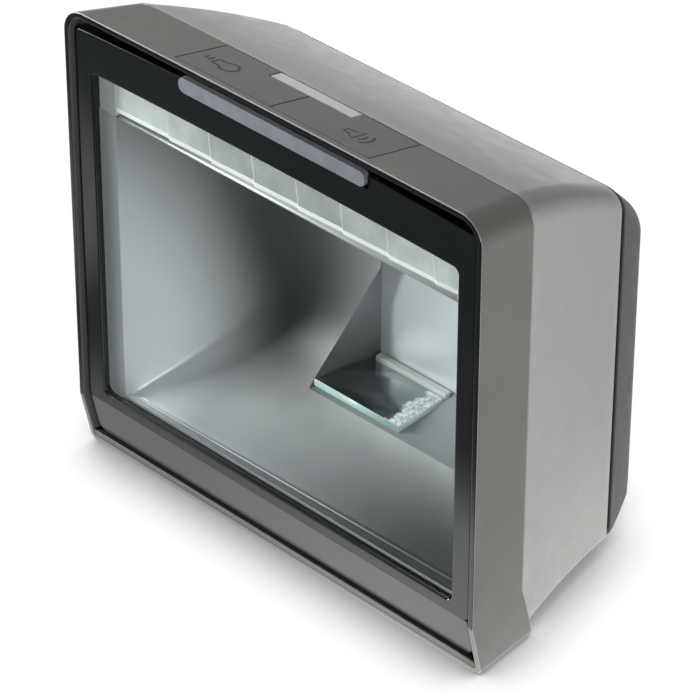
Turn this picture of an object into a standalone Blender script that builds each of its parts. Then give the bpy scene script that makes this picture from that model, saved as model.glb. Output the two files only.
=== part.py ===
"""Upright presentation barcode scanner for a checkout, at rest.

Metres, +Z up. X runs to the right seen from the front, the window faces -Y, and Z = 0 is the counter.
Dimensions below are in millimetres; every mesh is scaled by MM as it is made.
"""

import math

import bmesh
import bpy
from mathutils import Matrix, Vector

MM = 0.001
GAP = 0.3

# Bezel: a tapering ring with a chin that leans back below the kink
BEZEL_HALF_FRONT = 76.0
BEZEL_HALF_REAR = 73.7
BEZEL_DEPTH = 21.2
BEZEL_TOP_FRONT = 141.75
BEZEL_TOP_REAR = 136.9
BEZEL_CROWN_FRONT = 0.35
BEZEL_CROWN_REAR = 0.8
BEZEL_CORNER = 7.4
BEZEL_FOOT_CORNER = 3.0
BEZEL_WALL = 1.9
KINK_Z = 17.6
CHIN_LEAN = 4.0 / 17.6
REAR_LEAN = 5.0 / 17.6

# Body shell, tapering and falling towards the rear
BODY_FRONT = BEZEL_DEPTH + GAP
BODY_REAR = 67.0
BODY_HALF_FRONT = 73.3
BODY_TAPER = 0.30
BODY_TAPER_EASE = 0.0017
BODY_TOP_FRONT = 136.75
BODY_FALL = 0.345
BODY_FALL_GROWTH = 0.00275
BODY_FLOOR = 4.6
BODY_WALL = 2.0

# Window
FRAME_FRONT = 1.4
FRAME_BACK = 3.4
FRAME_HALF = 72.9
WINDOW_HALF = 66.9
WINDOW_BOTTOM = 21.3
WINDOW_TOP = 123.9
GLASS_FRONT = 3.7
GLASS_BACK = 5.5

# Buttons
BUTTON_OUTER = 35.0
BUTTON_FRONT = 2.5
BUTTON_REAR = 20.9
BUTTON_THICK = 2.0
STRIP_HALF = 14.8
STRIP_FRONT = 16.9
SWITCH_X = 17.5
SWITCH_Y = 13.0
BOARD_TOP = 128.2

# Optical tray
TRAY_RIM = 5.8
TRAY_LEFT = -63.0
TRAY_RIGHT = 64.2
TRAY_BOTTOM = 20.2
TRAY_TOP = 110.4
TRAY_WALL = 1.4
TRAY_FLANGE_X = 69.6
TRAY_FLANGE_Z = 16.8
SCOOP_BACK = 50.4
SCOOP_LENGTH_X = 16.5
SCOOP_LENGTH_Z = 17.3
SHELF_BACK = 8.3
SHELF_GROWTH = 0.026
NICHE_FRONT = 32.2
NICHE_BACK = 51.2
NICHE_LEFT = -16.0
NICHE_RIGHT = 18.0
NICHE_LEFT_LEAN = 8.0 / (NICHE_BACK - NICHE_FRONT)
NICHE_RIGHT_LEAN = 2.0 / (NICHE_BACK - NICHE_FRONT)
NICHE_FLOOR = 33.3
NICHE_RISE = 3.4 / (NICHE_BACK - NICHE_FRONT)
RAMP_TOP = 39.5
MIRROR_GAP = 0.4
MIRROR_THICK = 2.3

# Rear cover
COVER_FRONT = 68.2
COVER_WALL = 2.0
HUMP_REAR = 96.5
COVER_SCREWS = ((-49.8, 24.0), (49.8, 24.0), (-49.8, 90.0), (49.8, 90.0))
JACK_REAR = 95.6

CAMERA_Y = 34.0
FOOT_X = 45.0
FOOT_Y = 55.0

for old in list(bpy.data.objects):
    bpy.data.objects.remove(old, do_unlink=True)
PARTS = bpy.data.collections.new("barcode_scanner")
CUTTERS = bpy.data.collections.new("cutters")
bpy.context.scene.collection.children.link(PARTS)
bpy.context.scene.collection.children.link(CUTTERS)


def material(name, colour, roughness, metallic=0.0):
    made = bpy.data.materials.new(name)
    made.use_nodes = True
    shader = made.node_tree.nodes["Principled BSDF"]
    shader.inputs["Base Color"].default_value = (*colour, 1.0)
    shader.inputs["Roughness"].default_value = roughness
    shader.inputs["Metallic"].default_value = metallic
    made.diffuse_color = (*colour, 1.0)
    return made


WARM_GREY = (0.16, 0.15, 0.14)
BOARD_GREEN = (0.02, 0.16, 0.08)
BLACK = (0.02, 0.02, 0.022)
STEEL = (0.62, 0.62, 0.64)
WHITE = (0.82, 0.83, 0.83)


def place(name, mesh, look, smooth=False):
    """Adds a mesh as one named part, with its own material."""
    colour, roughness, metallic = look
    mesh.materials.clear()
    mesh.materials.append(material(name, colour, roughness, metallic))
    for face in mesh.polygons:
        face.use_smooth = smooth
    part = bpy.data.objects.new(name, mesh)
    PARTS.objects.link(part)
    return part


def to_mesh(name, bm, outward=True):
    """Scales a millimetre bmesh to metres and turns it into a mesh."""
    if outward:
        bmesh.ops.recalc_face_normals(bm, faces=bm.faces)
    bmesh.ops.scale(bm, vec=(MM, MM, MM), verts=bm.verts)
    mesh = bpy.data.meshes.new(name)
    bm.to_mesh(mesh)
    bm.free()
    return mesh


def box_mesh(name, low, high):
    bm = bmesh.new()
    bmesh.ops.create_cube(bm, size=1.0)
    size = [b - a for a, b in zip(low, high)]
    middle = [(a + b) / 2 for a, b in zip(low, high)]
    bmesh.ops.scale(bm, vec=size, verts=bm.verts)
    bmesh.ops.translate(bm, vec=middle, verts=bm.verts)
    return to_mesh(name, bm)


def drum_mesh(name, radius, start, length, axis, segments=24, radius_end=None):
    """A cylinder or cone frustum that starts at a point and runs along +X, +Y or +Z."""
    bm = bmesh.new()
    end = radius if radius_end is None else radius_end
    bmesh.ops.create_cone(
        bm, cap_ends=True, segments=segments, radius1=radius, radius2=end, depth=length
    )
    bmesh.ops.translate(bm, vec=(0, 0, length / 2), verts=bm.verts)
    turn = {
        "Z": Matrix(),
        "Y": Matrix.Rotation(-math.pi / 2, 4, "X"),
        "X": Matrix.Rotation(math.pi / 2, 4, "Y"),
    }
    bmesh.ops.transform(bm, matrix=turn[axis], verts=bm.verts)
    bmesh.ops.translate(bm, vec=start, verts=bm.verts)
    return to_mesh(name, bm)


def boolean(part, mesh, operation="DIFFERENCE"):
    """Cuts or joins a hidden helper solid."""
    helper = bpy.data.objects.new("cutter_" + mesh.name, mesh)
    CUTTERS.objects.link(helper)
    helper.hide_render = True
    helper.display_type = "WIRE"
    modifier = part.modifiers.new(operation.lower(), "BOOLEAN")
    modifier.operation = operation
    modifier.solver = "EXACT"
    modifier.object = helper


def bevel(part, width, segments=2, angle=40.0):
    modifier = part.modifiers.new("edges", "BEVEL")
    modifier.width = width * MM
    modifier.segments = segments
    modifier.limit_method = "ANGLE"
    modifier.angle_limit = math.radians(angle)


def thicken(part, wall):
    """Turns an open surface into a shell whose outer face is the surface."""
    modifier = part.modifiers.new("wall", "SOLIDIFY")
    modifier.thickness = wall * MM
    modifier.offset = -1.0
    modifier.use_even_offset = False


def outline(half, bottom, top, crown, r_top, r_bottom, waist=KINK_Z):
    """Closed x-z outline of a housing section, anticlockwise seen from the front."""
    right = []
    for i in range(4):
        a = math.radians(90 * i / 3)
        right.append((half - r_bottom + r_bottom * math.sin(a), bottom + r_bottom * (1 - math.cos(a))))
    right.append((half, waist))
    for i in range(6):
        a = math.radians(90 * i / 5)
        right.append((half - r_top * (1 - math.cos(a)), top - r_top * (1 - math.sin(a))))
    for i in range(1, 4):
        right.append(((half - r_top) * (1 - i / 3), top))
    right = [(x, z + (crown * (1 - (x / half) ** 2) if z > waist else 0.0)) for x, z in right]
    return right + [(-x, z) for x, z in reversed(right[:-1])]


def shell_mesh(name, outer, inner, closed_rear=False):
    """A housing wall between an outer and an inner run of rings, open at the front."""
    bm = bmesh.new()
    rows = [[bm.verts.new(point) for point in ring] for ring in list(reversed(inner)) + list(outer)]
    count = len(rows[0])
    for near, far in zip(rows, rows[1:]):
        for i in range(count):
            j = (i + 1) % count
            bm.faces.new((near[i], far[i], far[j], near[j]))
    if closed_rear:
        bm.faces.new(rows[0])
        bm.faces.new(rows[-1])
    else:
        for i in range(count):
            j = (i + 1) % count
            bm.faces.new((rows[-1][i], rows[0][i], rows[0][j], rows[-1][j]))
    return to_mesh(name, bm)


def inset(section, wall):
    """The inner outline of a wall, from the numbers of its outer outline."""
    half, bottom, top, crown, r_top, r_bottom, waist = section
    return outline(
        half - wall,
        bottom + wall,
        top - wall,
        crown,
        max(r_top - wall, 0.6),
        max(r_bottom - wall, 0.6),
        waist,
    )


def flat_mesh(name, loops, front, back):
    """A flat plate in the x-z plane between two depths, from an outer loop and any hole loops."""
    curve = bpy.data.curves.new(name, "CURVE")
    curve.dimensions = "2D"
    curve.fill_mode = "BOTH"
    curve.extrude = (back - front) / 2
    for loop in loops:
        spline = curve.splines.new("POLY")
        spline.points.add(len(loop) - 1)
        for point, (x, z) in zip(spline.points, loop):
            point.co = (x, z, 0.0, 1.0)
        spline.use_cyclic_u = True
    holder = bpy.data.objects.new(name, curve)
    CUTTERS.objects.link(holder)
    mesh = bpy.data.meshes.new_from_object(holder)
    bpy.data.objects.remove(holder)
    mesh.transform(Matrix.Translation((0, (front + back) / 2, 0)) @ Matrix.Rotation(math.pi / 2, 4, "X"))
    bm = bmesh.new()
    bm.from_mesh(mesh)
    bmesh.ops.remove_doubles(bm, verts=bm.verts, dist=0.001)
    return to_mesh(name, bm)


def rounded(half, bottom, top, radius, rise=0.0, steps=4, middle=0.0):
    """Rounded rectangle in x-z whose top edge may bow upwards."""
    right = []
    for i in range(steps + 1):
        a = math.radians(90 * i / steps)
        right.append((half - radius * (1 - math.sin(a)), bottom + radius * (1 - math.cos(a))))
    for i in range(steps + 1):
        a = math.radians(90 * i / steps)
        right.append((half - radius * (1 - math.cos(a)), top - radius * (1 - math.sin(a))))
    if rise:
        for i in range(1, 7):
            x = (half - radius) * (1 - i / 6)
            right.append((x, top + rise * (1 - (x / half) ** 2)))
        loop = right + [(-x, z) for x, z in reversed(right[:-1])]
    else:
        loop = right + [(-x, z) for x, z in reversed(right)]
    return [(middle + x, z) for x, z in loop]


def prism_mesh(name, profile, x_low, x_high):
    """A y-z profile swept along X."""
    bm = bmesh.new()
    ends = [[bm.verts.new((x, y, z)) for y, z in profile] for x in (x_low, x_high)]
    count = len(profile)
    for i in range(count):
        j = (i + 1) % count
        bm.faces.new((ends[0][i], ends[0][j], ends[1][j], ends[1][i]))
    bm.faces.new(ends[0])
    bm.faces.new(ends[1])
    return to_mesh(name, bm)


def turned(name, profile, look, at, steps=32):
    """A turned part on a vertical axis; the profile runs down its outer side, top to bottom."""
    bm = bmesh.new()
    points = [bm.verts.new((r, 0, z)) for r, z in profile]
    for a, b in zip(points, points[1:]):
        bm.edges.new((a, b))
    part = place(name, to_mesh(name, bm, outward=False), look, smooth=True)
    part.location = Vector(at) * MM
    screw = part.modifiers.new("turn", "SCREW")
    screw.axis = "Z"
    screw.steps = steps
    screw.render_steps = steps
    screw.use_merge_vertices = True
    screw.merge_threshold = 0.00001
    screw.use_smooth_shade = True
    return part


def front_y(z):
    """Depth of the bezel's front edge at a height."""
    return max(0.0, KINK_Z - z) * CHIN_LEAN


def seam_y(z):
    """Depth of the bezel's rear edge at a height."""
    return BEZEL_DEPTH + max(0.0, KINK_Z - z) * REAR_LEAN


def bezel_top(x, y):
    """Height of the bezel's crowned, sloping top surface."""
    t = y / BEZEL_DEPTH
    half = BEZEL_HALF_FRONT + (BEZEL_HALF_REAR - BEZEL_HALF_FRONT) * t
    level = BEZEL_TOP_FRONT + (BEZEL_TOP_REAR - BEZEL_TOP_FRONT) * t
    crown = BEZEL_CROWN_FRONT + (BEZEL_CROWN_REAR - BEZEL_CROWN_FRONT) * t
    return level + crown * (1 - (x / half) ** 2)


def body_half(y):
    run = y - BODY_FRONT
    return BODY_HALF_FRONT - BODY_TAPER * run + BODY_TAPER_EASE * run * run


def body_top(y):
    run = y - BODY_FRONT
    return BODY_TOP_FRONT - BODY_FALL * run - BODY_FALL_GROWTH * run * run


# Front bezel
front_section = (
    BEZEL_HALF_FRONT, 0.0, BEZEL_TOP_FRONT, BEZEL_CROWN_FRONT, BEZEL_CORNER, BEZEL_FOOT_CORNER, KINK_Z
)
rear_section = (
    BEZEL_HALF_REAR, 0.0, BEZEL_TOP_REAR, BEZEL_CROWN_REAR, BEZEL_CORNER, BEZEL_FOOT_CORNER, KINK_Z
)
outer_rings = []
inner_rings = []
for section, edge in ((front_section, front_y), (rear_section, seam_y)):
    outer_rings.append([(x, edge(z), z) for x, z in outline(*section)])
    inner_rings.append([(x, edge(z), z) for x, z in inset(section, BEZEL_WALL)])
bezel = place("front_bezel", shell_mesh("front_bezel", outer_rings, inner_rings), (WARM_GREY, 0.5, 0.0))
SILL_TOP = 3.9
sill = [(front_y(z) + 0.1, z) for z in (0.9, SILL_TOP)] + [(8.0, SILL_TOP), (8.0, 0.9)]
boolean(bezel, prism_mesh("sill", sill, -74.5, 74.5), "UNION")
boolean(
    bezel,
    box_mesh("button_opening", (-BUTTON_OUTER - GAP, 2.2, 125), (BUTTON_OUTER + GAP, 30, 150)),
)
bevel(bezel, 0.5, 1, 50)

# Window frame with its bowed top edge and the seat of the light bar
BAR_LEFT = -32.1
BAR_RIGHT = 35.5
frame_outer = rounded(FRAME_HALF, 18.0, 135.7, 1.6, rise=1.6)
opening = rounded(WINDOW_HALF, WINDOW_BOTTOM, WINDOW_TOP, 2.0, rise=0.7)
frame = place(
    "window_frame",
    flat_mesh("window_frame", [frame_outer, opening], FRAME_FRONT, FRAME_BACK),
    (BLACK, 0.15, 0.0),
)
boolean(frame, box_mesh("bar_seat", (BAR_LEFT - 0.4, 0, 133.2), (BAR_RIGHT + 0.4, 2.65, 142)))
boolean(frame, box_mesh("shelf_slot", (BAR_LEFT - 0.4, 0, 134.8), (BAR_RIGHT + 0.4, 6, 142)))
bevel(frame, 0.25, 1, 50)

# Chin panel, sheared to lie on the slanted chin
CHIN_HALF = 72.7
CHIN_BOTTOM = 4.9
CHIN_TOP = 17.95
CHIN_CORNER = 3.0
chin_right = []
for degrees in range(0, 91, 18):
    a = math.radians(degrees)
    chin_right.append((
        CHIN_HALF - CHIN_CORNER * (1 - math.sin(a)),
        CHIN_BOTTOM + CHIN_CORNER * (1 - math.cos(a)),
    ))
chin_right.append((CHIN_HALF, CHIN_TOP))
chin_loop = chin_right + [(-x, z) for x, z in reversed(chin_right)]
panel_mesh = flat_mesh("chin_panel", [chin_loop], FRAME_FRONT, FRAME_BACK)
for vertex in panel_mesh.vertices:
    vertex.co.y += front_y(vertex.co.z / MM) * MM
panel = place("chin_panel", panel_mesh, ((0.2, 0.19, 0.18), 0.45, 0.0))
bevel(panel, 0.3, 2, 50)

# Glass and its seal
glass_edge = rounded(69.0, 19.2, 125.6, 2.5, rise=0.7)
glass = place(
    "window_glass",
    flat_mesh("window_glass", [glass_edge], GLASS_FRONT, GLASS_BACK),
    ((0.85, 0.92, 0.92), 0.03, 0.0),
)
bevel(glass, 0.2, 1, 50)
seal_inner = rounded(69.3, 18.9, 125.9, 2.8, rise=0.7)
seal_outer = rounded(70.7, 17.7, 127.2, 3.6, rise=0.7)
place(
    "window_gasket",
    flat_mesh("window_gasket", [seal_outer, seal_inner], GLASS_FRONT, GLASS_BACK),
    (BLACK, 0.8, 0.0),
)

# Front light bar: a lip in front, a shelf running back and a leg down to its lamp
bar_middle = (BAR_LEFT + BAR_RIGHT) / 2
bar_loop = [(x + bar_middle, z) for x, z in rounded((BAR_RIGHT - BAR_LEFT) / 2, 133.6, 138.0, 1.9)]
bar_face = place(
    "front_light_bar",
    flat_mesh("front_light_bar", [bar_loop], 0.5, 2.3),
    ((0.62, 0.7, 0.85), 0.25, 0.0),
)
bar_shelf = [(1.4, 135.2), (8.9, 135.2), (8.9, 136.7), (1.4, 136.9)]
boolean(bar_face, prism_mesh("bar_shelf", bar_shelf, BAR_LEFT + 0.6, BAR_RIGHT - 0.6), "UNION")
boolean(bar_face, box_mesh("bar_leg", (-3.5, 7.2, 129.6), (3.5, 8.9, 136.0)), "UNION")
bevel(bar_face, 0.25, 1, 50)


def top_slab_mesh(name, x_low, x_high, y_low, y_high, thick):
    """A slab flush with the bezel's crowned, sloping top."""
    bm = bmesh.new()
    levels = []
    for drop in (0.0, thick):
        grid = []
        for j in range(3):
            y = y_low + (y_high - y_low) * j / 2
            xs = [x_low + (x_high - x_low) * i / 4 for i in range(5)]
            grid.append([bm.verts.new((x, y, bezel_top(x, y) - drop)) for x in xs])
        levels.append(grid)
    for grid in levels:
        for j in range(2):
            for i in range(4):
                bm.faces.new((grid[j][i], grid[j][i + 1], grid[j + 1][i + 1], grid[j + 1][i]))
    upper, lower = levels
    rim = [(0, i) for i in range(5)] + [(j, 4) for j in (1, 2)]
    rim += [(2, i) for i in (3, 2, 1, 0)] + [(1, 0)]
    for (j, i), (k, m) in zip(rim, rim[1:] + rim[:1]):
        bm.faces.new((upper[j][i], upper[k][m], lower[k][m], lower[j][i]))
    return to_mesh(name, bm)


# Rear light strip
strip = place(
    "rear_light_strip",
    top_slab_mesh("rear_light_strip", -STRIP_HALF, STRIP_HALF, STRIP_FRONT, BUTTON_REAR, 1.8),
    (WHITE, 0.3, 0.0),
)
boolean(strip, box_mesh("strip_leg", (-3.0, 17.4, 129.6), (3.0, 19.4, 136.9)), "UNION")
bevel(strip, 0.2, 1, 50)

# Buttons, their return springs and the switches below them
SPRING_FOOT = 132.35
SPRING_LENGTH = 3.6
for side, sign in (("left", -1), ("right", 1)):
    span = sorted((sign * GAP / 2, sign * BUTTON_OUTER))
    cap = place(
        side + "_button",
        top_slab_mesh(side + "_button", span[0], span[1], BUTTON_FRONT, BUTTON_REAR, BUTTON_THICK),
        (WARM_GREY, 0.5, 0.0),
    )
    notch = sorted((-sign * 2.0, sign * (STRIP_HALF + GAP)))
    boolean(
        cap,
        box_mesh(side + "_notch", (notch[0], STRIP_FRONT - GAP, 120), (notch[1], 30, 150)),
    )
    post = drum_mesh(side + "_post", 1.2, (sign * SWITCH_X, SWITCH_Y, 133.9), 4.0, "Z", 16)
    boolean(cap, post, "UNION")
    bevel(cap, 0.25, 1, 50)
    cap_origin = Vector((sign * SWITCH_X, SWITCH_Y, 133.9)) * MM
    cap.data.transform(Matrix.Translation(-cap_origin))
    cap.location = cap_origin
    switch = place(
        side + "_switch_body",
        box_mesh(
            side + "_switch_body",
            (sign * SWITCH_X - 3, SWITCH_Y - 3, BOARD_TOP + GAP),
            (sign * SWITCH_X + 3, SWITCH_Y + 3, 132.0),
        ),
        (BLACK, 0.4, 0.0),
    )
    boolean(switch, drum_mesh(side + "_bore", 1.25, (sign * SWITCH_X, SWITCH_Y, 130.1), 3.5, "Z", 20))
    bevel(switch, 0.3, 1, 50)
    turned(
        side + "_switch_plunger",
        [(0.0, 2.3), (0.8, 2.3), (1.05, 2.05), (1.05, 0.0), (0.0, 0.0)],
        ((0.75, 0.72, 0.2), 0.4, 0.0),
        (sign * SWITCH_X, SWITCH_Y, 131.1),
        20,
    )
    coil = bpy.data.curves.new(side + "_button_spring", "CURVE")
    coil.dimensions = "3D"
    coil.bevel_depth = 0.22 * MM
    coil.bevel_resolution = 1
    coil.use_fill_caps = True
    turns = 4
    count = 44
    spline = coil.splines.new("POLY")
    spline.points.add(count)
    for i, point in enumerate(spline.points):
        a = 2 * math.pi * turns * i / count
        z = SPRING_FOOT + SPRING_LENGTH * i / count
        point.co = (2.0 * math.cos(a) * MM, 2.0 * math.sin(a) * MM, z * MM, 1.0)
    spring = bpy.data.objects.new(side + "_button_spring", coil)
    coil.materials.append(material(side + "_button_spring", STEEL, 0.25, 1.0))
    PARTS.objects.link(spring)
    spring.location = Vector((sign * SWITCH_X, SWITCH_Y, 0.0)) * MM

# Carrier and board under the buttons
carrier_loop = [(70.5, 6.4), (70.5, 19.0), (66.0, 20.4), (-66.0, 20.4), (-70.5, 19.0), (-70.5, 6.4)]
SCREW_X = 29.0
SCREW_Y = 16.2


def level_plate_mesh(name, loop, bottom, top):
    """A horizontal plate from an x-y loop."""
    bm = bmesh.new()
    ends = [[bm.verts.new((x, y, z)) for x, y in loop] for z in (bottom, top)]
    count = len(loop)
    for i in range(count):
        j = (i + 1) % count
        bm.faces.new((ends[0][i], ends[0][j], ends[1][j], ends[1][i]))
    bm.faces.new(ends[0])
    bm.faces.new(ends[1])
    return to_mesh(name, bm)


carrier = place(
    "button_carrier", level_plate_mesh("button_carrier", carrier_loop, 124.8, 126.6), (BLACK, 0.55, 0.0)
)
button_board = place(
    "button_board",
    box_mesh("button_board", (-33, 6.6, 127.0), (33, 20.3, BOARD_TOP)),
    (BOARD_GREEN, 0.5, 0.0),
)
for side, sign in (("left", -1), ("right", 1)):
    hole_at = (sign * SCREW_X, SCREW_Y, 120)
    boolean(button_board, drum_mesh(side + "_board_hole", 1.35, hole_at, 10, "Z", 20))
    boolean(carrier, drum_mesh(side + "_carrier_hole", 1.35, hole_at, 10, "Z", 20))
    turned(
        "board_screw_" + side,
        [(0.0, 1.5), (1.6, 1.5), (2.2, 0.9), (2.2, 0.0), (1.0, 0.0), (1.0, -5.0), (0.0, -5.6)],
        (STEEL, 0.3, 1.0),
        (sign * SCREW_X, SCREW_Y, BOARD_TOP + GAP),
        24,
    )
bevel(carrier, 0.4, 1, 50)
for where, y in (("front", 8.05), ("rear", 18.4)):
    lamp = place(
        "status_led_" + where,
        box_mesh("status_led_" + where, (-1.6, y - 0.8, BOARD_TOP + 0.15), (1.6, y + 0.8, 129.3)),
        (WHITE, 0.3, 0.0),
    )
    bevel(lamp, 0.2, 1, 50)

# Body shell
BODY_STATIONS = 7
outer_rings = []
inner_rings = []
for i in range(BODY_STATIONS):
    t = i / (BODY_STATIONS - 1)
    lean = 1 - t
    y_side = BODY_FRONT + (BODY_REAR - BODY_FRONT) * t
    section = (
        body_half(y_side), BODY_FLOOR, body_top(y_side), BEZEL_CROWN_REAR * lean, 7.0 - 1.5 * t, 2.6, KINK_Z
    )
    for rings, loop in ((outer_rings, outline(*section)), (inner_rings, inset(section, BODY_WALL))):
        rings.append([(x, y_side + (seam_y(z) - BEZEL_DEPTH) * lean, z) for x, z in loop])
body = place("main_body", shell_mesh("main_body", outer_rings, inner_rings), ((0.45, 0.44, 0.42), 0.38, 0.3))
for sign in (-1, 1):
    boolean(body, drum_mesh("foot_hole", 2.4, (sign * FOOT_X, FOOT_Y, 0), 12, "Z", 20))
bevel(body, 0.35, 1, 60)

foot_profile = (
    (0.0, 9.0),
    (1.6, 9.0),
    (2.9, 7.6),
    (2.0, 6.9),
    (2.0, 4.2),
    (7.0, 4.2),
    (7.0, 0.6),
    (6.4, 0.0),
    (0.0, 0.0),
)
for name, sign in (("foot_left", -1), ("foot_right", 1)):
    turned(
        name,
        foot_profile,
        (BLACK, 0.9, 0.0),
        (sign * FOOT_X, FOOT_Y, 0.0),
        32,
    )

# Dark seal in the seam between body and rear cover
last = body_half(BODY_REAR)
ring_outer = outline(last - 1.0, BODY_FLOOR + 1.0, body_top(BODY_REAR) - 1.0, 0.0, 5.0, 2.4)
ring_inner = outline(last - 3.6, BODY_FLOOR + 3.6, body_top(BODY_REAR) - 3.6, 0.0, 4.0, 1.6)
place(
    "seam_gasket",
    flat_mesh("seam_gasket", [ring_outer, ring_inner], BODY_REAR + GAP, COVER_FRONT - GAP),
    (BLACK, 0.85, 0.0),
)

# Rear cover with its hump; (y, half, bottom, top, r_top, r_bottom, waist)
cover_sections = (
    (COVER_FRONT, 62.75, 4.5, 114.5, 5.5, 2.6, KINK_Z),
    (69.6, 62.5, 4.6, 113.4, 5.7, 2.8, KINK_Z),
    (73.0, 61.8, 7.0, 110.6, 6.2, 3.4, KINK_Z),
    (76.8, 60.9, 10.2, 107.1, 7.0, 4.2, 20.0),
    (78.6, 59.6, 12.0, 105.0, 7.4, 5.0, 22.0),
    (79.7, 57.4, 14.0, 102.6, 7.6, 5.6, 24.0),
    (80.0, 43.5, 15.6, 87.6, 9.0, 7.0, 30.0),
    (81.2, 41.8, 16.4, 86.4, 8.6, 6.6, 30.0),
    (93.6, 39.6, 17.6, 83.8, 8.0, 6.0, 30.0),
    (95.6, 38.6, 18.6, 82.8, 7.6, 5.6, 30.0),
    (HUMP_REAR, 36.8, 20.4, 81.0, 6.6, 5.0, 30.0),
)
STEP_START = 79.0
outer_rings = []
inner_rings = []
for y, *rest in cover_sections:
    section = (rest[0], rest[1], rest[2], 0.0, rest[3], rest[4], rest[5])
    inner_y = y - COVER_WALL if y > STEP_START else y
    outer_rings.append([(x, y, z) for x, z in outline(*section)])
    inner_rings.append([(x, inner_y, z) for x, z in inset(section, COVER_WALL)])
cover = place("rear_cover", shell_mesh("rear_cover", outer_rings, inner_rings, True), (WARM_GREY, 0.5, 0.0))
for x, z in COVER_SCREWS:
    boolean(cover, drum_mesh("cover_post", 4.4, (x, 60.0, z), 18.6, "Y", 20), "UNION")
for x, z in COVER_SCREWS:
    boolean(cover, drum_mesh("cover_bore", 1.9, (x, 55.0, z), 30.0, "Y", 16))
    boolean(cover, drum_mesh("cover_counterbore", 3.4, (x, 75.0, z), 10.0, "Y", 20))
for i in range(7):
    x = -12.0 + 4.0 * i
    boolean(cover, box_mesh("speaker_slot", (x - 0.8, 74, 91.0), (x + 0.8, 84, 99.5)))

# Sockets in the hump: (name, x low, x high, z low, z high)
sockets = (
    ("data_jack", -27.0, -11.0, 25.0, 39.0),
    ("usb_port", -4.5, 9.0, 27.0, 33.4),
)
for name, x_low, x_high, z_low, z_high in sockets:
    window_low = (x_low - 0.4, 90, z_low - 0.4)
    window_high = (x_high + 0.4, 100, z_high + 0.4)
    boolean(cover, box_mesh(name + "_window", window_low, window_high))
POWER_X = 22.0
POWER_Z = 31.0
boolean(cover, drum_mesh("power_window", 4.9, (POWER_X, 90.0, POWER_Z), 10.0, "Y", 28))

for i, (x, z) in enumerate(COVER_SCREWS):
    screw_mesh = drum_mesh("case_screw_%d" % (i + 1), 1.5, (x, 53.6, z), 22.0, "Y", 16)
    case_screw = place("case_screw_%d" % (i + 1), screw_mesh, (STEEL, 0.3, 1.0))
    boolean(case_screw, drum_mesh("screw_head", 2.9, (x, 75.3, z), 2.2, "Y", 20), "UNION")
    for turn in range(2):
        low = (x - 1.7, 76.4, z - 0.35) if turn else (x - 0.35, 76.4, z - 1.7)
        high = (x + 1.7, 79.0, z + 0.35) if turn else (x + 0.35, 79.0, z + 1.7)
        boolean(case_screw, box_mesh("screw_slot", low, high))

# Chassis plate behind the tray, with bosses for the case screws
chassis = place(
    "chassis_plate",
    flat_mesh("chassis_plate", [rounded(60.5, 10.6, 107.0, 5.0)], 53.2, 54.8),
    ((0.5, 0.5, 0.52), 0.4, 0.8),
)
for x, z in COVER_SCREWS:
    boolean(chassis, drum_mesh("chassis_boss", 3.4, (x, 54.0, z), 5.6, "Y", 20), "UNION")
STANDOFFS = ((-38.0, 19.0), (38.0, 19.0), (-38.0, 101.0), (38.0, 101.0))
for x, z in STANDOFFS:
    boolean(chassis, drum_mesh("standoff", 2.4, (x, 54.0, z), 3.2, "Y", 12), "UNION")
for x, z in COVER_SCREWS:
    boolean(chassis, drum_mesh("boss_bore", 1.8, (x, 50.0, z), 15.0, "Y", 16))

# Boards and what they carry
main_board = place(
    "main_board",
    flat_mesh("main_board", [rounded(42.0, 15.0, 105.0, 2.0)], 57.5, 59.1),
    (BOARD_GREEN, 0.5, 0.0),
)
shield = place(
    "processor_shield", box_mesh("processor_shield", (-15, 59.4, 56), (15, 62.2, 84)), (STEEL, 0.3, 1.0)
)
bevel(shield, 0.5, 2, 50)
interface_board = place(
    "interface_board",
    flat_mesh("interface_board", [rounded(33.0, 21.5, 72.0, 2.0)], 77.2, 78.8),
    (BOARD_GREEN, 0.5, 0.0),
)
for name, x_low, x_high, z_low, z_high in sockets:
    socket = place(
        name,
        box_mesh(name, (x_low, 79.1, z_low), (x_high, JACK_REAR, z_high)),
        (BLACK, 0.4, 0.0),
    )
    mouth = 1.3
    boolean(
        socket,
        box_mesh(
            name + "_mouth",
            (x_low + mouth, 84.0, z_low + mouth),
            (x_high - mouth, 99.0, z_high - mouth),
        ),
    )
    bevel(socket, 0.3, 1, 50)
boolean(
    bpy.data.objects["data_jack"],
    box_mesh("latch_way", (-21.5, 86.0, 36.0), (-16.5, 99.0, 38.4)),
)
boolean(
    bpy.data.objects["usb_port"],
    box_mesh("usb_tongue", (-2.2, 82.0, 28.6), (6.7, 94.6, 29.8)),
    "UNION",
)
power = place(
    "power_jack",
    drum_mesh("power_jack", 4.5, (POWER_X, 79.1, POWER_Z), JACK_REAR - 79.1, "Y", 32),
    (BLACK, 0.4, 0.0),
)
boolean(power, drum_mesh("power_mouth", 3.2, (POWER_X, 86.0, POWER_Z), 15.0, "Y", 28))
boolean(power, drum_mesh("power_pin", 0.9, (POWER_X, 84.0, POWER_Z), 10.4, "Y", 16), "UNION")

# Speaker behind its slots
SPEAKER_RADIUS = 11.0
SPEAKER_Z = 92.6
speaker = place(
    "speaker", drum_mesh("speaker", SPEAKER_RADIUS, (0.0, 72.2, SPEAKER_Z), 3.8, "Y", 32), (BLACK, 0.5, 0.0)
)
boolean(speaker, drum_mesh("speaker_magnet", 6.2, (0.0, 69.2, SPEAKER_Z), 4.0, "Y", 24), "UNION")
boolean(speaker, drum_mesh("speaker_dish", 4.0, (0.0, 74.4, SPEAKER_Z), 3.0, "Y", 24, 12.5))

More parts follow.
